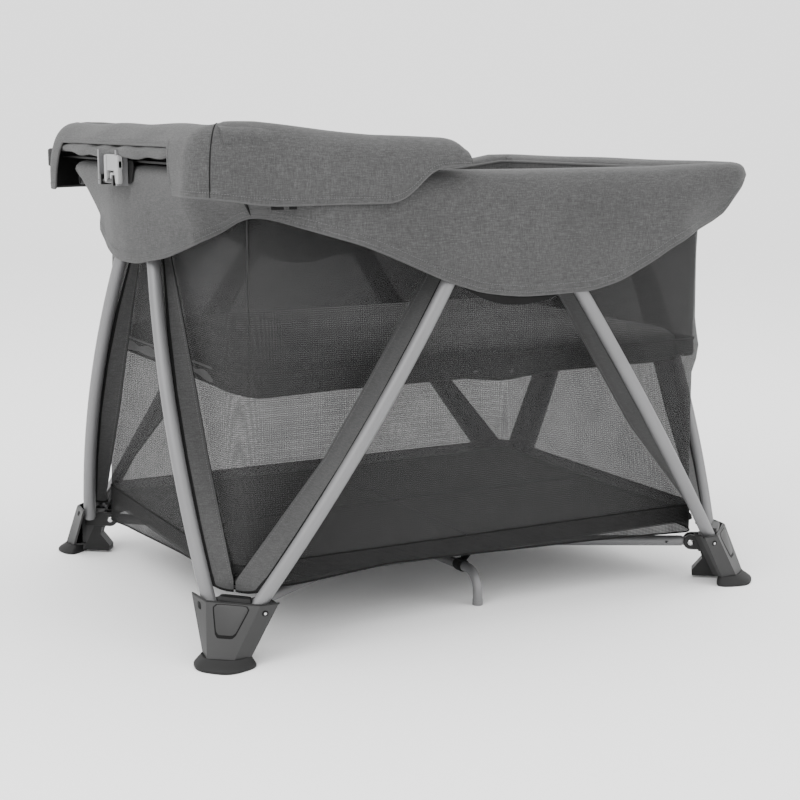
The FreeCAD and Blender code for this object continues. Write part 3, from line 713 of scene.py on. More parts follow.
def band_grid(kind):
    """Cloth band from the inner side of a leg to the wall; first quarter."""
    z = np.concatenate([np.linspace(0.104, 0.13, 7), np.linspace(0.145, 0.69, 60)])
    along, outward = (0, 1) if kind == "long" else (1, 0)
    wall = (WALL_X, WALL_Y)
    outer = tube_at(kind, z)
    inner = outer.copy()
    climb = np.clip((z - BAND_APEX) / (STRAIGHT_TO - BAND_APEX), 0, 1)
    line = wall[along] + (tube_at(kind, np.array([STRAIGHT_TO]))[0][along] - wall[along]) * climb
    inner[:, outward] = wall[outward] + 0.0035
    inner[:, along] = np.where(z < STRAIGHT_TO, line, outer[:, along])
    outer[:, outward] -= TUBE_RADIUS - 0.002
    share = np.concatenate([[0, 0.09, 0.18], np.linspace(0.28, 1, 7)])
    grid = outer[:, None] + (inner - outer)[:, None] * share[None, :, None]
    grid[:, :, 2] += 0.010 * (1 - share) ** 2 * np.clip((0.13 - z) / 0.026, 0, 1)[:, None]
    grid[:, :, along] += np.sin(PI * share) * 0.0016 * np.sin(9 * z)[:, None]
    return grid


def leg_band(kind):
    """Cloth, dark binding with a strip of painted shade next to the tube, and stitches of a band."""
    grid = band_grid(kind)
    thickness = np.full(grid.shape[:2], 0.0022)
    thickness[:, -2:] = thickness[:3, :] = 0.0036
    across = (0, 1, 0) if kind == "short" else (1, 0, 0)
    # the dark sheet over the first three columns, next to the tube, is painted shade for the shadowed gap;
    # the ropes along the inner edge and the foot are a binding
    binding_and_gap_shade = join(thick_sheet(grid[:, :3], BAND_GAP_SHADE), rope(grid[6:, -1], 0.0018, across=across),
                   rope(grid[0] - (0, 0, 0.0015), 0.0026))
    line, normals = grid[2:, -2], grid_normals(grid)[2:, -2]
    seams = join(*[stitches(line + sign * normals * 0.0020, sign * normals) for sign in (1, -1)])
    return grid, thick_sheet(grid, thickness), binding_and_gap_shade, seams


for kind in ("long", "short"):
    grid, cloth, binding_and_gap_shade, seams = leg_band(kind)
    for end, side, *signs in quarters():
        tag, body = f"{end}_{side}", f"{kind}_leg_{end}_{side}"
        band = piece(f"{kind}_band_{tag}", mirrored(cloth, *signs), BAND_CLOTH, body, angle=60)
        declare(band, grid, "stretched", [body])
        # dark binding, with its strip of painted shade next to the tube
        piece(f"{kind}_binding_{tag}", mirrored(binding_and_gap_shade, *signs), LINING, body)
        piece(f"{kind}_band_stitches_{tag}", mirrored(seams, *signs), THREAD, body)


# ------------------------------------------------------------------- floor mats

ARM_PIVOT, FOOT_RIVET = np.array([0.055, 0.042]), np.array([0.448, 0.331, 0.068])
OUTWARD = unit(FOOT_RIVET[:2] - ARM_PIVOT)
ACROSS = np.array([-OUTWARD[1], OUTWARD[0]])


def mat_quarter():
    """Quarter of the folding floor mat: a thin stuffed panel with eased edges."""
    low, high_x, high_y = 0.0003, 0.4515, 0.3295
    u, v = (0.5 - 0.5 * np.cos(PI * np.linspace(0, 1, count)) for count in (46, 36))
    x, y = np.meshgrid(low + (high_x - low) * u, low + (high_y - low) * v, indexing="ij")
    rim = np.minimum(np.minimum((x - low) * 3.5, high_x - x), np.minimum((y - low) * 3.5, high_y - y))
    ease = np.sqrt(np.clip(1 - (1 - np.clip(rim / 0.010, 0, 1)) ** 2, 0, 1))
    toward = np.hypot(x - high_x, y - high_y)
    ray = np.cos(9 * np.arctan2(high_y - y + 1e-6, high_x - x + 1e-6)) ** 24 * np.exp(-toward / 0.16)
    top = 0.1115 + 0.0125 * ease + 0.0012 * np.sin(17 * x + 3) * np.sin(19 * y) - 0.0022 * ray
    return closed_by(np.stack([x, y, top], -1), np.stack([x, y, 0.1095 - 0.0045 * ease], -1))


mat_form = mat_quarter()
for end, side, x_sign, y_sign in quarters():
    tag = f"{end}_{side}"
    mat = piece(f"floor_mat_{tag}", mirrored(mat_form, x_sign, y_sign), FLOOR_CLOTH, f"arm_{tag}",
                [f"floor_fabric_{tag}"], 55)
    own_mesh(mat)


# ----------------------------------------------------------------- bassinet insert

def pillow(low, high, radius, crown, left_radius=None):
    """Closed stuffed panel with rounded upright corners, soft edges and a crowned top."""
    low, high = np.array(low), np.array(high)
    middle, half = (low + high) / 2, (high - low) / 2
    outline = rounded_loop(half[0], half[1], radius, (40, 28, 9), left_radius)[0]
    shrink = [0.0, 0.25, 0.5, 0.72, 0.88, 0.955, 0.985, 0.997, 1.0]
    rings = []
    for sign, sizes in ((-1, shrink), (1, shrink[::-1][1:])):
        for size in sizes:
            lift = math.sqrt(1 - (1 - min(1.0, (1 - size) / 0.045)) ** 2)
            ring = np.zeros((len(outline), 3))
            ring[:, :2] = middle[:2] + outline * max(size, 0.002)
            ring[:, 2] = middle[2] + sign * half[2] * lift + (crown * (1 - size * size) if sign > 0 else 0.0)
            rings.append(ring)
    return loft(rings)


def evaluated(obj):
    return bpy.data.meshes.new_from_object(obj.evaluated_get(bpy.context.evaluated_depsgraph_get()))


def swell(obj, pressure, cap, voxel=0.006, frames=20):
    """Puff a closed piece with a short cloth simulation and keep the result."""
    scene = bpy.context.scene
    remesh = obj.modifiers.new("remesh", "REMESH")
    remesh.mode, remesh.voxel_size = "VOXEL", voxel
    start = evaluated(obj)
    obj.modifiers.clear()
    finish = obj.data.materials[0]
    obj.data = start
    start.materials.clear()
    start.materials.append(finish)
    before = np.array([v.co for v in start.vertices])
    cloth = obj.modifiers.new("cloth", "CLOTH")
    cloth.settings.use_pressure = True
    cloth.settings.uniform_pressure_force = pressure
    cloth.settings.effector_weights.gravity = 0
    cloth.settings.tension_stiffness = cloth.settings.compression_stiffness = 20
    cloth.settings.bending_stiffness = 2
    cloth.point_cache.frame_start, cloth.point_cache.frame_end = 1, frames
    for number in range(1, frames + 1):
        scene.frame_set(number)
    move = np.array([v.co for v in evaluated(obj).vertices]) - before
    obj.modifiers.clear()
    move *= np.minimum(1, cap / np.maximum(np.linalg.norm(move, axis=1, keepdims=True), 1e-9))
    start.vertices.foreach_set("co", (before + move).astype(np.float32).ravel())
    start.shade_smooth()
    start.update()
    scene.frame_set(1)


BASSINET_X, BASSINET_Y = 0.4515, 0.3280
BASSINET_BEND, BASSINET_LEFT_BEND, TRAY_LEFT_BEND = 0.024, 0.085, 0.062
BASSINET_COUNTS = (64, 44, 11)
TRAY_TOP, BORDER_LOW = 0.445, 0.704
TRAY_FRONT = [(-0.44, 0.410), (-0.41, 0.404), (-0.27, 0.4075), (-0.15, 0.4138), (-0.07, 0.4154),
              (0.05, 0.399), (0.20, 0.413), (0.33, 0.411), (0.45, 0.423)]
TRAY_REAR = [(-0.45, 0.419), (0.0, 0.412), (0.45, 0.419)]
TRAY_END = [(-0.33, 0.410), (-0.12, 0.427), (0.20, 0.420), (0.33, 0.418)]
bassinet_places, bassinet_normals, _ = rounded_loop(BASSINET_X, BASSINET_Y, BASSINET_BEND, BASSINET_COUNTS,
                                                    BASSINET_LEFT_BEND)
bassinet_long = np.abs(bassinet_normals[:, 1]) ** 2


def bassinet_points(rows, out=0.0, pull=0.004):
    """Upright fabric round the bassinet, drawn in a little between its corners."""
    grid = np.zeros((len(bassinet_places), len(rows), 3))
    freedom = slack(bassinet_places, bassinet_normals, BASSINET_X, BASSINET_Y)
    for j, z in enumerate(rows):
        offset = out - pull * freedom * math.sin(PI * np.clip((z - TRAY_TOP) / 0.30, 0, 1))
        grid[:, j, :2] = bassinet_places + bassinet_normals * offset[:, None]
        grid[:, j, 2] = z
    return grid


def border_points():
    """Sewn top border, which follows the level of the skirt's rim."""
    grid = bassinet_points(np.linspace(BORDER_LOW, 0.752, 7), 0.0012, 0.0)
    for column, long_share in zip(grid, bassinet_long):
        height = (0.010 + 0.0375 * rim_level(column[0], long_share)) / 0.048
        column[:, 2] = BORDER_LOW + (column[:, 2] - BORDER_LOW) * height
    return grid


def tray_points():
    """Soft side of the tray, from the foot of the net down and in under the base."""
    places, normals = bassinet_places, bassinet_normals
    x, y = places[:, 0], places[:, 1]
    long_line = np.where(y < 0, smooth_table(TRAY_FRONT, x), smooth_table(TRAY_REAR, x))
    bottom = bassinet_long * long_line + (1 - bassinet_long) * smooth_table(TRAY_END, y)
    sharp = rounded_loop(BASSINET_X, BASSINET_Y, BASSINET_BEND, BASSINET_COUNTS, TRAY_LEFT_BEND)[0]
    tray = np.zeros((len(places), 16, 3))
    for j, t in enumerate(np.linspace(0, 1, 16)):
        out = 0.0022 * math.sin(PI * min(t / 0.85, 1)) + 0.0005 * np.sin(90 * x + 70 * y)
        out = out - 0.014 * np.clip((t - 0.72) / 0.28, 0, 1) ** 1.5
        tray[:, j, :2] = places + (sharp - places) * min(1.0, t / 0.6) + normals * out[:, None]
        tray[:, j, 2] = TRAY_TOP + (bottom - TRAY_TOP) * math.sin(PI / 2 * min(t / 0.92, 1))
    return tray


def corner_seams():
    """Seams up the two left corners of the net."""
    long_count, short_count, corner_count = BASSINET_COUNTS
    columns = bassinet_points(np.linspace(0.446, 0.742, 20), 0.0022, 0.0)
    stations = (long_count + corner_count * 3 // 2, long_count + short_count + corner_count * 5 // 2 + 1)
    return join(*[rope(columns[station], 0.0013, 6, across=(1, 0, 0)) for station in stations])


def ring_sheet(name, geometry, material, grid, held, rests_on, replaces=()):
    """Sheet of the bassinet that runs all the way round it."""
    declare(piece(name, geometry, material, "bassinet", replaces), grid, held, rests_on, wrap=True)


grid = bassinet_points(np.linspace(0.444, 0.712, 16))
ring_sheet("bassinet_net", open_sheet(grid, True), NET_INNER, grid, "stretched", ["bassinet_border"],
           ["bassinet_walls"])
grid = border_points()
ring_sheet("bassinet_border", thick_sheet(grid, 0.002, True), HEATHER, grid, "hung", ["skirt_cloth_front"])
piece("bassinet_rim", rope(grid[:, -1], 0.0032, wrap=True), EDGE_TAPE, "bassinet")
piece("bassinet_seams", corner_seams(), TRAY_CLOTH, "bassinet")
grid = tray_points()
ring_sheet("tray_side", thick_sheet(grid, 0.0028, True), TRAY_CLOTH, grid, "hung", ["bassinet_net"],
           ["bassinet_tray"])
base = piece("tray_base", pillow((-0.4345, -0.3175, 0.4035), (0.4345, 0.3175, 0.4215), 0.03, 0.0, 0.05),
             TRAY_CLOTH, "bassinet")
piping = bassinet_points([0.4455], 0.0016, 0.0)[:, 0]
piece("tray_piping", rope(piping, 0.0024, wrap=True), TRAY_CLOTH, "bassinet")
mattress = piece("mattress", pillow((-0.433, -0.316, 0.4235), (0.433, 0.316, 0.4585), 0.03, 0.004, 0.08),
                 MATTRESS_CLOTH, "bassinet", ["bassinet_mattress"], 70)
swell(mattress, 3.0, 0.005)


# ------------------------------------------------------------------ changing table

TABLE_X, TABLE_Y, TABLE_BEND = -0.537, 0.421, 0.060
TABLE_FAR_Y, TABLE_FAR_BEND = 0.412, 0.085
TABLE_RIGHT = -0.079
# height and how far out the cover stands, from its hem up and over the roll
COVER_PROFILE = np.array([
    (0.711, 0.0015), (0.725, 0.0022), (0.745, 0.0022), (0.765, 0.0010), (0.782, -0.0010), (0.796, -0.0050),
    (0.808, -0.0110), (0.817, -0.0180), (0.8235, -0.0260), (0.8275, -0.0350), (0.8285, -0.0440),
    (0.8265, -0.0530), (0.821, -0.0610), (0.813, -0.0675), (0.804, -0.0720),
])
COVER_TOP = [(-0.57, 0.826), (-0.53, 0.8285), (-0.47, 0.832), (-0.43, 0.831), (-0.337, 0.822),
             (-0.236, 0.812), (-0.149, 0.808), (-0.112, 0.8065), (-0.097, 0.8035), (-0.087, 0.797),
             (-0.079, 0.787)]
COVER_HEM = [(-0.57, 0.728), (-0.50, 0.722), (-0.45, 0.714), (-0.40, 0.710), (-0.212, 0.711), (-0.184, 0.728),
             (-0.152, 0.760), (-0.12, 0.7655), (-0.07, 0.768)]
FAR_HEM = [(-0.57, 0.707), (-0.45, 0.709)] + COVER_HEM[3:]
NOTCH_HALF, NOTCH_TOP, FLAT_TO = 0.302, 0.797, 0.765


def half_stations(half_y, bend):
    """Stations from the right end of the front to the middle of the left end."""
    places = [(x, -half_y) for x in np.linspace(TABLE_RIGHT, TABLE_X + bend, 110)[:-1]]
    normals = [(0, -1)] * len(places)
    for t in np.linspace(0, PI / 2, 16):
        direction = (-math.sin(t), -math.cos(t))
        places.append((TABLE_X + bend + direction[0] * bend, -half_y + bend + direction[1] * bend))
        normals.append(direction)
    end = [(TABLE_X, y) for y in np.linspace(-half_y + bend, 0, 96)[1:]]
    return places + end, normals + [(-1, 0)] * len(end)


def table_stations():
    """Stations from the right end of the front, round the left end, to the right end of the rear."""
    near, far = half_stations(TABLE_Y, TABLE_BEND), half_stations(TABLE_FAR_Y, TABLE_FAR_BEND)
    return [np.array(first + [(x, -y) for x, y in second[::-1]][1:], float)
            for first, second in zip(near, far)]


TABLE_PLACES, TABLE_NORMALS = table_stations()


def cover_hem():
    """Height of the cover's hem: level, drawn up at the free end and notched at the bracket."""
    x, y = TABLE_PLACES[:, 0], TABLE_PLACES[:, 1]
    along = np.where(y < 0, smooth_table(COVER_HEM, x), smooth_table(FAR_HEM, x))
    share = smooth_step(np.clip((NOTCH_HALF + 0.020 - np.abs(y)) / 0.040, 0, 1))
    share = np.where(TABLE_NORMALS[:, 0] < -0.9, share, 0)
    return along * (1 - share) + NOTCH_TOP * share


def cover_grid(inset=0.0, low=0.0, cut=None):
    """Grid of the cover over its stations; a lining is inset and starts above the hem."""
    heights, outs = COVER_PROFILE.T
    reach = reach_along(COVER_PROFILE)
    first = np.interp(cover_hem() + low, heights[:10], reach[:10])
    last = reach[-1] if cut is None else cut
    scale = (smooth_table(COVER_TOP, TABLE_PLACES[:, 0], 0.006) - FLAT_TO) / (heights.max() - FLAT_TO)
    grid = np.zeros((len(TABLE_PLACES), 46, 3))
    for i, (place, normal, s) in enumerate(zip(TABLE_PLACES, TABLE_NORMALS, reach_along(TABLE_PLACES))):
        at = first[i] + (last - first[i]) * np.linspace(0, 1, 46)
        z = np.interp(at, reach, heights)
        z = np.where(z > FLAT_TO, FLAT_TO + (z - FLAT_TO) * scale[i], z)
        nose = np.clip((place[0] + 0.135) / 0.056, 0, 1) ** 2
        out = np.interp(at, reach, outs) * (1 - 0.25 * nose)
        fold = wave((0.0016, 0.0010), 17 * s + 0.4, 41 * s + 20 * z) * np.clip((0.795 - z) / 0.05, 0, 1)
        puff = 0.0014 * np.sin(29 * s + 30 * z) * np.clip((z - 0.79) / 0.02, 0, 1)
        out = eased(out + fold + puff) - inset
        grid[i, :, :2] = place + normal * out[:, None]
        grid[i, :, 2] = eased(z, 1) + 0.0012 * np.sin(23 * s) * np.clip((z - 0.80) / 0.02, 0, 1)
    return grid


def table_piece(name, geometry, material=HEATHER, replaces=(), angle=38.0, slot=None):
    obj = piece(name, geometry, material, "changing_table", replaces, angle, slot)
    return obj


def side_roll(y_sign):
    """Stuffed roll under the cover along one side of the table."""
    xs = np.linspace(-0.492, -0.081, 60)
    top = smooth_table(COVER_TOP, xs)
    line = np.stack([xs, np.full(60, y_sign * 0.383), (top + 0.774) / 2], -1)
    end = np.sqrt(np.clip(1 - np.clip((xs + 0.100) / 0.019, 0, 1) ** 2, 0.05, 1))
    return rope(line, np.maximum((top - 0.774) / 2 - 0.0035, 0.002) * end, 20, flat=1.3)


def flap_roll():
    """Rolled flap over the opening at the end of the table."""
    half = 0.296
    ys = np.linspace(-half, half, 90)
    ease = np.sqrt(np.clip(1 - (ys / half) ** 6, 0, 1))
    sag = 0.7865 - 0.0035 * (1 - (ys / half) ** 2) + 0.0011 * np.sin(60 * ys)
    line = np.stack([-0.5285 + 0.0012 * np.sin(27 * ys + 1), ys, sag], -1)
    return rope(line, 0.0016 + 0.0082 * ease + 0.0008 * np.sin(45 * ys), 14, flat=0.8)


def hook_tab(x, width, y_sign):
    """Small dark tab that shows under the cover's hem."""
    z = np.linspace(0.718, 0.7035, 6)
    tab = np.zeros((7, 6, 3))
    tab[:, :, 0] = np.linspace(x - width / 2, x + width / 2, 7)[:, None] + 0.001 * np.sin(300 * z)
    tab[:, :, 1] = y_sign * (0.4185 + 0.0008 * np.cos(200 * z))
    tab[:, :, 2] = z
    return thick_sheet(tab, 0.0022)


def corner_tag():
    """Small cloth tab that stands out at the far left corner."""
    normal, along = np.array([-0.885, 0.466, 0.0]), np.array([0.466, 0.885, 0.0])
    root = np.array([TABLE_X + TABLE_FAR_BEND, TABLE_FAR_Y - TABLE_FAR_BEND, 0.0]) + TABLE_FAR_BEND * normal
    rings = []
    for reach, low, high, half in ((-0.004, 0.749, 0.783, 0.0020), (0.006, 0.749, 0.783, 0.0022),
                                   (0.0095, 0.751, 0.781, 0.0019), (0.0105, 0.753, 0.779, 0.0008)):
        corners = ((-half, low), (half, low), (half, high), (-half, high))
        rings.append(np.array([root + normal * reach + along * step + (0, 0, z) for step, z in corners]))
    return loft(rings)


grid = cover_grid()
from_hem = np.linalg.norm(grid - grid[:, :1], axis=2)
cover = table_piece("table_cover", thick_sheet(grid, np.where(from_hem < 0.010, 0.0036, 0.0024)), HEATHER,
                    ["table_apron"], 60)
declare(cover, grid, "hung", ["table_frame"])
lining_grid = cover_grid(inset=0.0034, low=0.004, cut=0.10)
declare(table_piece("table_lining", open_sheet(lining_grid), LINING), lining_grid, "hung", ["table_cover"])
table_piece("cover_edge", rope(grid[:, 0] - (0, 0, 0.0006), 0.0021), EDGE_TAPE)
normals = grid_normals(grid)
normals = normals if normals[0, 5, 1] < 0 else -normals
row = int(np.argmin(np.abs(from_hem[40] - 0.008)))
table_piece("cover_stitches", stitches(grid[:, row] + normals[:, row] * 0.0021, normals[:, row]), THREAD)
for end, y_sign in ENDS.items():
    at = int(np.argmin(np.abs(TABLE_PLACES[:, 0] + 0.513) + 10 * (TABLE_PLACES[:, 1] * y_sign < 0)))
    seam = rope(grid[at] + normals[at] * 0.0013, 0.0010, 6, across=(1, 0, 0))
    table_piece(f"cover_seam_{end}", seam, LINING, slot="heather_fabric")
pad_form = pillow((-0.495, -0.362, 0.772), (-0.083, 0.362, 0.801), 0.03, 0.003)
pad = table_piece("table_pad_top", pad_form, HEATHER, ["table_pad"], 70)
swell(pad, 3.0, 0.006)
for end, y_sign in ENDS.items():
    table_piece(f"side_roll_{end}", side_roll(y_sign), angle=70)
table_piece("flap_roll", flap_roll(), angle=70)
for index, (x, width) in enumerate(((-0.410, 0.020), (-0.385, 0.012))):
    for end, y_sign in ENDS.items():
        table_piece(f"hook_tab_{end}_{index}", hook_tab(x, width, y_sign), LINING)
table_piece("corner_tag", corner_tag())


# ------------------------------------------------------------ end clip of the table

def upright_plate(outline, low, high, bevel=0.0012):
    """Bevelled plate across X from an outline given across and up."""
    levels = ((low, bevel), (low + bevel, 0), (high - bevel, 0), (high, bevel))
    return stack(outline, levels, lambda y, z, x: (x, y, z), by_distance=True)


def block(y0, y1, z0, z1):
    return rounded([(y0, z0), (y1, z0), (y1, z1), (y0, z1)], 2, 0.12)


clip_parts = [
    upright_plate(block(-0.0590, -0.0435, 0.731, 0.778), -0.5395, -0.5315),
    upright_plate(block(0.0025, 0.0150, 0.733, 0.778), -0.5395, -0.5315),
    upright_plate(block(-0.0590, 0.0150, 0.752, 0.779), -0.5385, -0.5305),
    upright_plate(block(-0.0420, -0.0320, 0.734, 0.756), -0.5380, -0.5310),
]
piece("clip_body", join(*clip_parts), LIGHT_PLASTIC, "table_bracket")
piece("clip_shadow", upright_plate(block(-0.0440, 0.0020, 0.732, 0.754), -0.5325, -0.5295), BLACK_PLASTIC,
      "table_bracket")
piece("clip_latch", upright_plate(block(-0.0300, -0.0100, 0.738, 0.749), -0.5375, -0.5320), LIGHT_PLASTIC,
      "table_bracket")
opening = rounded([(-0.080, 0.770), (-0.040, 0.770), (-0.040, 0.731), (-0.066, 0.731)], 2, 0.2)
piece("clip_opening", upright_plate(opening, -0.5185, -0.5163), LINING, "short_hub_front_left")


# ------------------------------------------------------------------------- feet

HOUSING_TOP = np.array([(0.416, 0.413), (0.446, 0.411), (0.512, 0.350), (0.516, 0.298)])
HOUSING_LOW = np.array([(0.461, 0.409), (0.491, 0.412), (0.526, 0.386), (0.521, 0.354)])
HOUSING_Z = (0.016, 0.096)
PAD_PLAN = [(0.448, 0.404), (0.462, 0.422), (0.507, 0.433), (0.545, 0.393), (0.538, 0.354), (0.520, 0.340)]
PAD_TOP = [(0.456, 0.400), (0.462, 0.412), (0.494, 0.418), (0.531, 0.388), (0.526, 0.354), (0.514, 0.347)]
CHEEK_OUT = 0.0142


def facet(number):
    """Map of one outer face of the housing: across 0..1, up 0..1, and out along its normal."""
    corners = [np.append(plan[number + step], z) for plan, z, step in (
        (HOUSING_LOW, HOUSING_Z[0], 0), (HOUSING_LOW, HOUSING_Z[0], 1),
        (HOUSING_TOP, HOUSING_Z[1], 1), (HOUSING_TOP, HOUSING_Z[1], 0))]
    normal = unit(np.cross(corners[1] - corners[0], corners[3] - corners[0]))
    if normal @ np.array([1, 1, 0]) < 0:
        normal = -normal

    def at(across, up, out):
        low = corners[0] + (corners[1] - corners[0]) * across
        high = corners[3] + (corners[2] - corners[3]) * across
        return low + (high - low) * up + normal * out

    return at


def on_facet(at, outline, low, high, bevel=0.06):
    """Raised or dark plate that follows a housing face; its outline is across and up."""
    return stack(outline, ((low, 0.0), (high - (high - low) * 0.4, 0.0), (high, bevel)), at)


def round_boss(centre, along, other, normal, radius, levels):
    """Round boss with levels of height above a face and how far each draws in."""
    turns = np.linspace(0, 2 * PI, 20, endpoint=False)
    circle = np.stack([np.cos(turns), np.sin(turns)], -1)
    return stack(circle, levels, lambda a, b, out: centre + radius * (along * a + other * b) + normal * out,
                 middle=np.zeros(2))


def leg_boss(radius, levels):
    """Boss where the long leg's screw shows on the housing."""
    centre = long_face(0.50, 0.84, 0.0)
    normal = long_face(0.50, 0.84, 1.0) - centre
    along = unit(long_face(0.51, 0.84, 0.0) - centre)
    return round_boss(centre, along, np.cross(normal, along), normal, radius, levels)


def bracket_rivet(sign):
    """Domed rivet head on one cheek of the arm bracket."""
    normal, along, up = np.append(ACROSS, 0) * sign, np.append(OUTWARD, 0), np.array([0, 0, 1])
    levels = ((-0.0005, 0.0), (0.0009, 0.0), (0.0017, 0.15), (0.0022, 0.5), (0.0024, 0.85))
    return round_boss(FOOT_RIVET + normal * CHEEK_OUT, along, up, normal, 0.0056, levels)


def bracket_cheek():
    """Dark cover over the folding arm's bracket, open beneath and behind."""
    turns = np.linspace(PI / 2, 3 * PI / 2, 9)
    outline = [(0.0134 * math.cos(t), 0.0134 * math.sin(t)) for t in turns]
    outline = outline + [(0.052, -0.0134), (0.052, 0.0150)]

    def place(along, up, depth):
        return np.append(FOOT_RIVET[:2] + OUTWARD * along + ACROSS * depth, FOOT_RIVET[2] + up)

    cheeks = []
    for low, high in ((-CHEEK_OUT, -0.0079), (0.0079, CHEEK_OUT)):
        levels = ((low, 0.0008), (low + 0.0010, 0.0), (high - 0.0010, 0.0), (high, 0.0008))
        cheeks.append(stack(outline, levels, place, middle=np.zeros(2), by_distance=True))
    return join(*cheeks)


def top_insert():
    """Dark insert that closes the top of the housing between the two legs."""
    outline = rounded([(0.446, 0.386), (0.456, 0.398), (0.497, 0.356), (0.486, 0.344)], 2, 0.15)
    levels = ((0.0880, 0.0), (0.1030, 0.002 / 0.03), (0.1045, 0.0035 / 0.03))
    return stack(outline, levels, lambda x, y, z: (x, y, z))


def foot_sole():
    """Rubber pad: a wide plan that narrows to the housing above."""
    low, high = rounded(PAD_PLAN, 3, 0.22), rounded(PAD_TOP, 3, 0.22)
    rings = []
    for z, mix, grow in ((0.0, 0.0, -0.0012), (0.0012, 0.0, 0.0), (0.0045, 0.0, 0.0), (0.0062, 0.08, -0.0002),
                         (0.0105, 0.50, 0.0), (0.0145, 0.90, 0.0), (0.0168, 1.0, -0.001)):
        plan = low + (high - low) * mix
        plan = plan + unit(plan - plan.mean(0)) * grow
        rings.append(np.hstack([plan, np.full((len(plan), 1), z)]))
    return loft(rings)


def housing_rim():
    """Dark edge along the top of the housing's outer faces."""
    line = np.hstack([HOUSING_TOP, np.full((4, 1), 0.0964)])
    line = np.concatenate([np.linspace(line[i], line[i + 1], 8)[:-1] for i in range(3)] + [line[3:]])
    return rope(line + (-0.0022, -0.0022, 0), 0.0015)


long_face, middle_face, end_face = facet(0), facet(1), facet(2)
# Dark groove round the raised plate: a real dark joint along its foot and one side, and painted shade down
# the other side, where a soft shadow line falls.
groove_and_shade_line = rounded([(0.145, 0.985), (0.89, 0.985), (0.775, 0.375), (0.255, 0.375)], 2, 0.12)
groove_and_shade_line = on_facet(middle_face, groove_and_shade_line, -0.0002, 0.00035)
plate = rounded([(0.17, 0.972), (0.86, 0.972), (0.75, 0.435), (0.28, 0.435)], 2, 0.12)
plate = on_facet(middle_face, plate, 0.0, 0.0010, 0.05)
recess = leg_boss(0.0052, ((-0.0002, 0.0), (0.0004, 0.0), (0.0004, 0.15)))
ring = leg_boss(0.0034, ((0.0, 0.0), (0.0008, 0.0), (0.0008, 0.15)))
dome = [(0.0010 + 0.0010 * math.sin(t), 1 - math.cos(t)) for t in (0.5, 1.0, 1.35)]
rivet = leg_boss(0.0024, [(0.0, 0.0), (0.0010, 0.0)] + dome)
end_slot = rounded([(0.40, 0.93), (0.62, 0.93), (0.62, 0.80), (0.40, 0.80)], 2, 0.2)
end_slot = on_facet(end_face, end_slot, -0.0002, 0.0005)
# The dark foot piece holds the groove with its painted shade line, the dark end slot and the recess.
FOOT_PIECES = {"foot_groove_and_shade": (join(groove_and_shade_line, end_slot, recess), LINING),
               "foot_plate": (plate, GREY_PLASTIC),
               "foot_ring": (ring, DARK_PLASTIC),
               "foot_rivets": (join(rivet, bracket_rivet(1), bracket_rivet(-1)), RIVET),
               "foot_rim": (join(housing_rim(), top_insert(), bracket_cheek()), BLACK_PLASTIC)}
sole = foot_sole()
for end, side, *signs in quarters():
    tag = f"{end}_{side}"
    piece(f"foot_sole_{tag}", mirrored(sole, *signs), RUBBER, f"foot_{tag}", [f"foot_pad_{tag}"], 30)
    for name, (geometry, finish) in FOOT_PIECES.items():
        piece(f"{name}_{tag}", mirrored(geometry, *signs), finish, f"foot_{tag}")


# -------------------------------------------------------- support legs and straps

SUPPORT_RADIUS, SUPPORT_BEND = 0.0085, 0.034
SUPPORT_TOP, SUPPORT_KNEE, SUPPORT_END = (0.010, 0.063, 0.048), (0.010, 0.299, 0.060), (0.010, 0.299, 0.0006)


def bent_line(before, corner, after, radius, steps=12):
    """Line of two legs with an arc at its corner."""
    before, corner, after = (np.array(point, float) for point in (before, corner, after))
    a, b = unit(before - corner), unit(after - corner)
    half = math.acos(np.clip(a @ b, -1, 1)) / 2
    setback = radius / math.tan(half)
    centre = corner + (a + b) / np.linalg.norm(a + b) * radius / math.sin(half)
    start, stop = corner + a * setback - centre, corner + b * setback - centre
    angle = math.acos(np.clip(start @ stop / radius ** 2, -1, 1))
    arc = [centre + (start * math.sin((1 - t) * angle) + stop * math.sin(t * angle)) / math.sin(angle)
           for t in np.linspace(0, 1, steps)]
    return np.array([before] + arc + [after])


def filled(line, step):
    """The same line with points at even steps."""
    reach = reach_along(line)
    return points_at(np.linspace(0, reach[-1], int(reach[-1] / step) + 2), reach, line)


def ribbon(start, end, width, sag, across):
    """Webbing strap between two points, with its width along a direction."""
    start, end, across = np.array(start), np.array(end), np.array(across, float)
    t = np.linspace(0, 1, 16)[:, None]
    line = start + (end - start) * t + np.array([0, 0, -sag]) * np.sin(PI * t)
    return line[:, None] + across * width * np.linspace(-0.5, 0.5, 5)[None, :, None]


support_line = filled(bent_line(SUPPORT_TOP, SUPPORT_KNEE, SUPPORT_END, SUPPORT_BEND), 0.004)
tube = rope(support_line, SUPPORT_RADIUS, 24, across=(1, 0, 0))
cap = rope(filled(np.array([SUPPORT_END, (0.010, 0.299, 0.010)]), 0.002), 0.0092, 24, across=(1, 0, 0))
collar_line = [np.array([0.010, 0.240, 0.0577]) + (0, t, 0.04 * t) for t in np.linspace(-0.012, 0.012, 7)]
collar = rope(collar_line, [0.0104, 0.0112, 0.0112, 0.0109, 0.0112, 0.0112, 0.0104], 24, across=(1, 0, 0))
straps = [ribbon((0.006, 0.240, 0.067), (-0.052, 0.240, 0.1035), 0.020, 0.004, (0, 1, 0)),
          ribbon((0.014, 0.240, 0.067), (0.044, 0.240, 0.1035), 0.020, 0.002, (0, 1, 0))]
webbing = join(collar, *[thick_sheet(strap, 0.0018) for strap in straps])
for end, y_sign in ENDS.items():
    body = f"support_leg_{end}"
    piece(f"support_tube_{end}", mirrored(tube, 1, y_sign), TUBE, body, [body])
    piece(f"support_cap_{end}", mirrored(cap, 1, y_sign), TUBE, body)
    piece(f"support_strap_{end}", mirrored(webbing, 1, y_sign), WEBBING, body)


# ----------------------------------------------------------- floor, light, camera

VIEW_TURN = -27.8


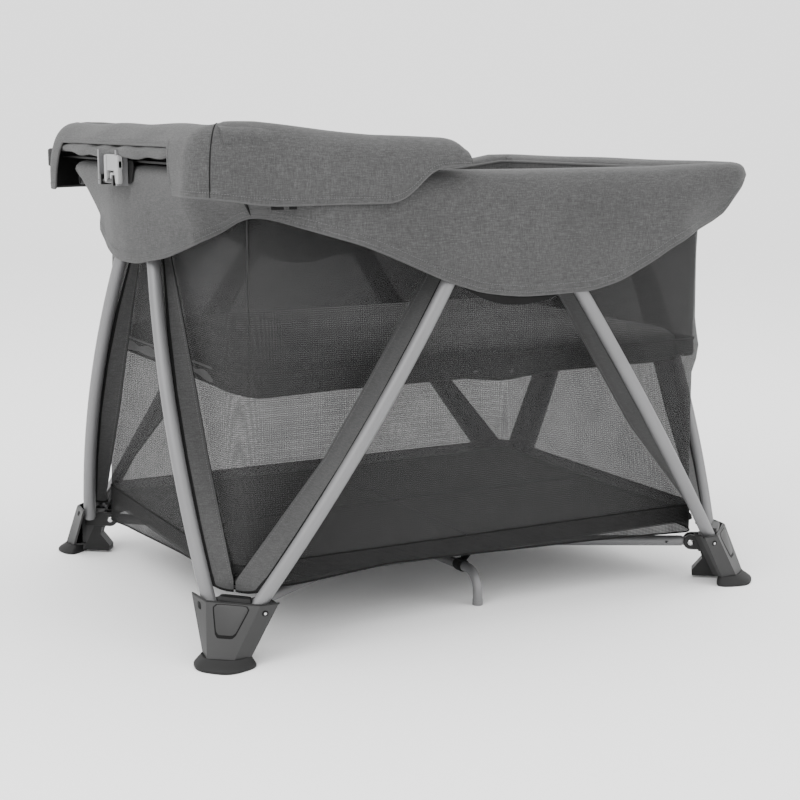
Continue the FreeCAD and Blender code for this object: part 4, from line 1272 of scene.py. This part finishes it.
def stage_floor():
    """Pale floor that curves up into a backdrop far behind."""
    size = 9.0
    rise = [(7.0 + 2.5 * math.sin(t), 2.5 - 2.5 * math.cos(t)) for t in np.linspace(0, PI / 2, 12)]
    depth, height = np.array([(-size, 0.0)] + rise + [(9.5, 9.0)]).T
    across = np.linspace(-1.6 * size, 1.6 * size, 25)[:, None]
    turn = math.radians(VIEW_TURN)
    grid = np.zeros((len(across), len(depth), 3))
    grid[:, :, 0] = across * math.cos(turn) - depth * math.sin(turn)
    grid[:, :, 1] = across * math.sin(turn) + depth * math.cos(turn)
    grid[:, :, 2] = height
    mesh = new_mesh("stage_floor", *open_sheet(grid))
    mesh.shade_smooth()
    obj = bpy.data.objects.new("stage_floor", mesh)
    bpy.context.scene.collection.objects.link(obj)
    mesh.materials.append(Finish("stage_paper", "stage", grey(0.97), 0.9, specular=0.1).material)


def area_light(name, place, aim, size, power):
    data = bpy.data.lights.new(name, "AREA")
    data.shape = "RECTANGLE"
    data.size, data.size_y = size
    data.energy = power
    obj = bpy.data.objects.new(name, data)
    obj.location = place
    obj.rotation_euler = (Vector(aim) - Vector(place)).to_track_quat("-Z", "Y").to_euler()
    bpy.context.scene.collection.objects.link(obj)


stage_floor()
world = bpy.data.worlds.new("studio")
bpy.context.scene.world = world
world.use_nodes = True
world.node_tree.nodes["Background"].inputs["Color"].default_value = (1, 1, 1, 1)
world.node_tree.nodes["Background"].inputs["Strength"].default_value = 1.9
area_light("key", (-3.2, -1.6, 3.2), (0, 0, 0.5), (2.4, 2.4), 110)
area_light("fill", (2.4, -3.6, 2.2), (0, 0, 0.4), (3.0, 2.0), 45)
area_light("top", (0.2, 0.2, 4.0), (0, 0, 0.5), (3.5, 3.5), 90)

camera_data = bpy.data.cameras.new("camera")
camera_data.sensor_width = 36.0
camera_data.lens = 70.33
camera = bpy.data.objects.new("camera", camera_data)
camera.location = (-1.3355 + SHIFT, -2.5621, 0.8331)
camera.rotation_euler = (math.radians(90 - 10.12), 0.0, math.radians(-27.78))
bpy.context.scene.collection.objects.link(camera)
bpy.context.scene.camera = camera
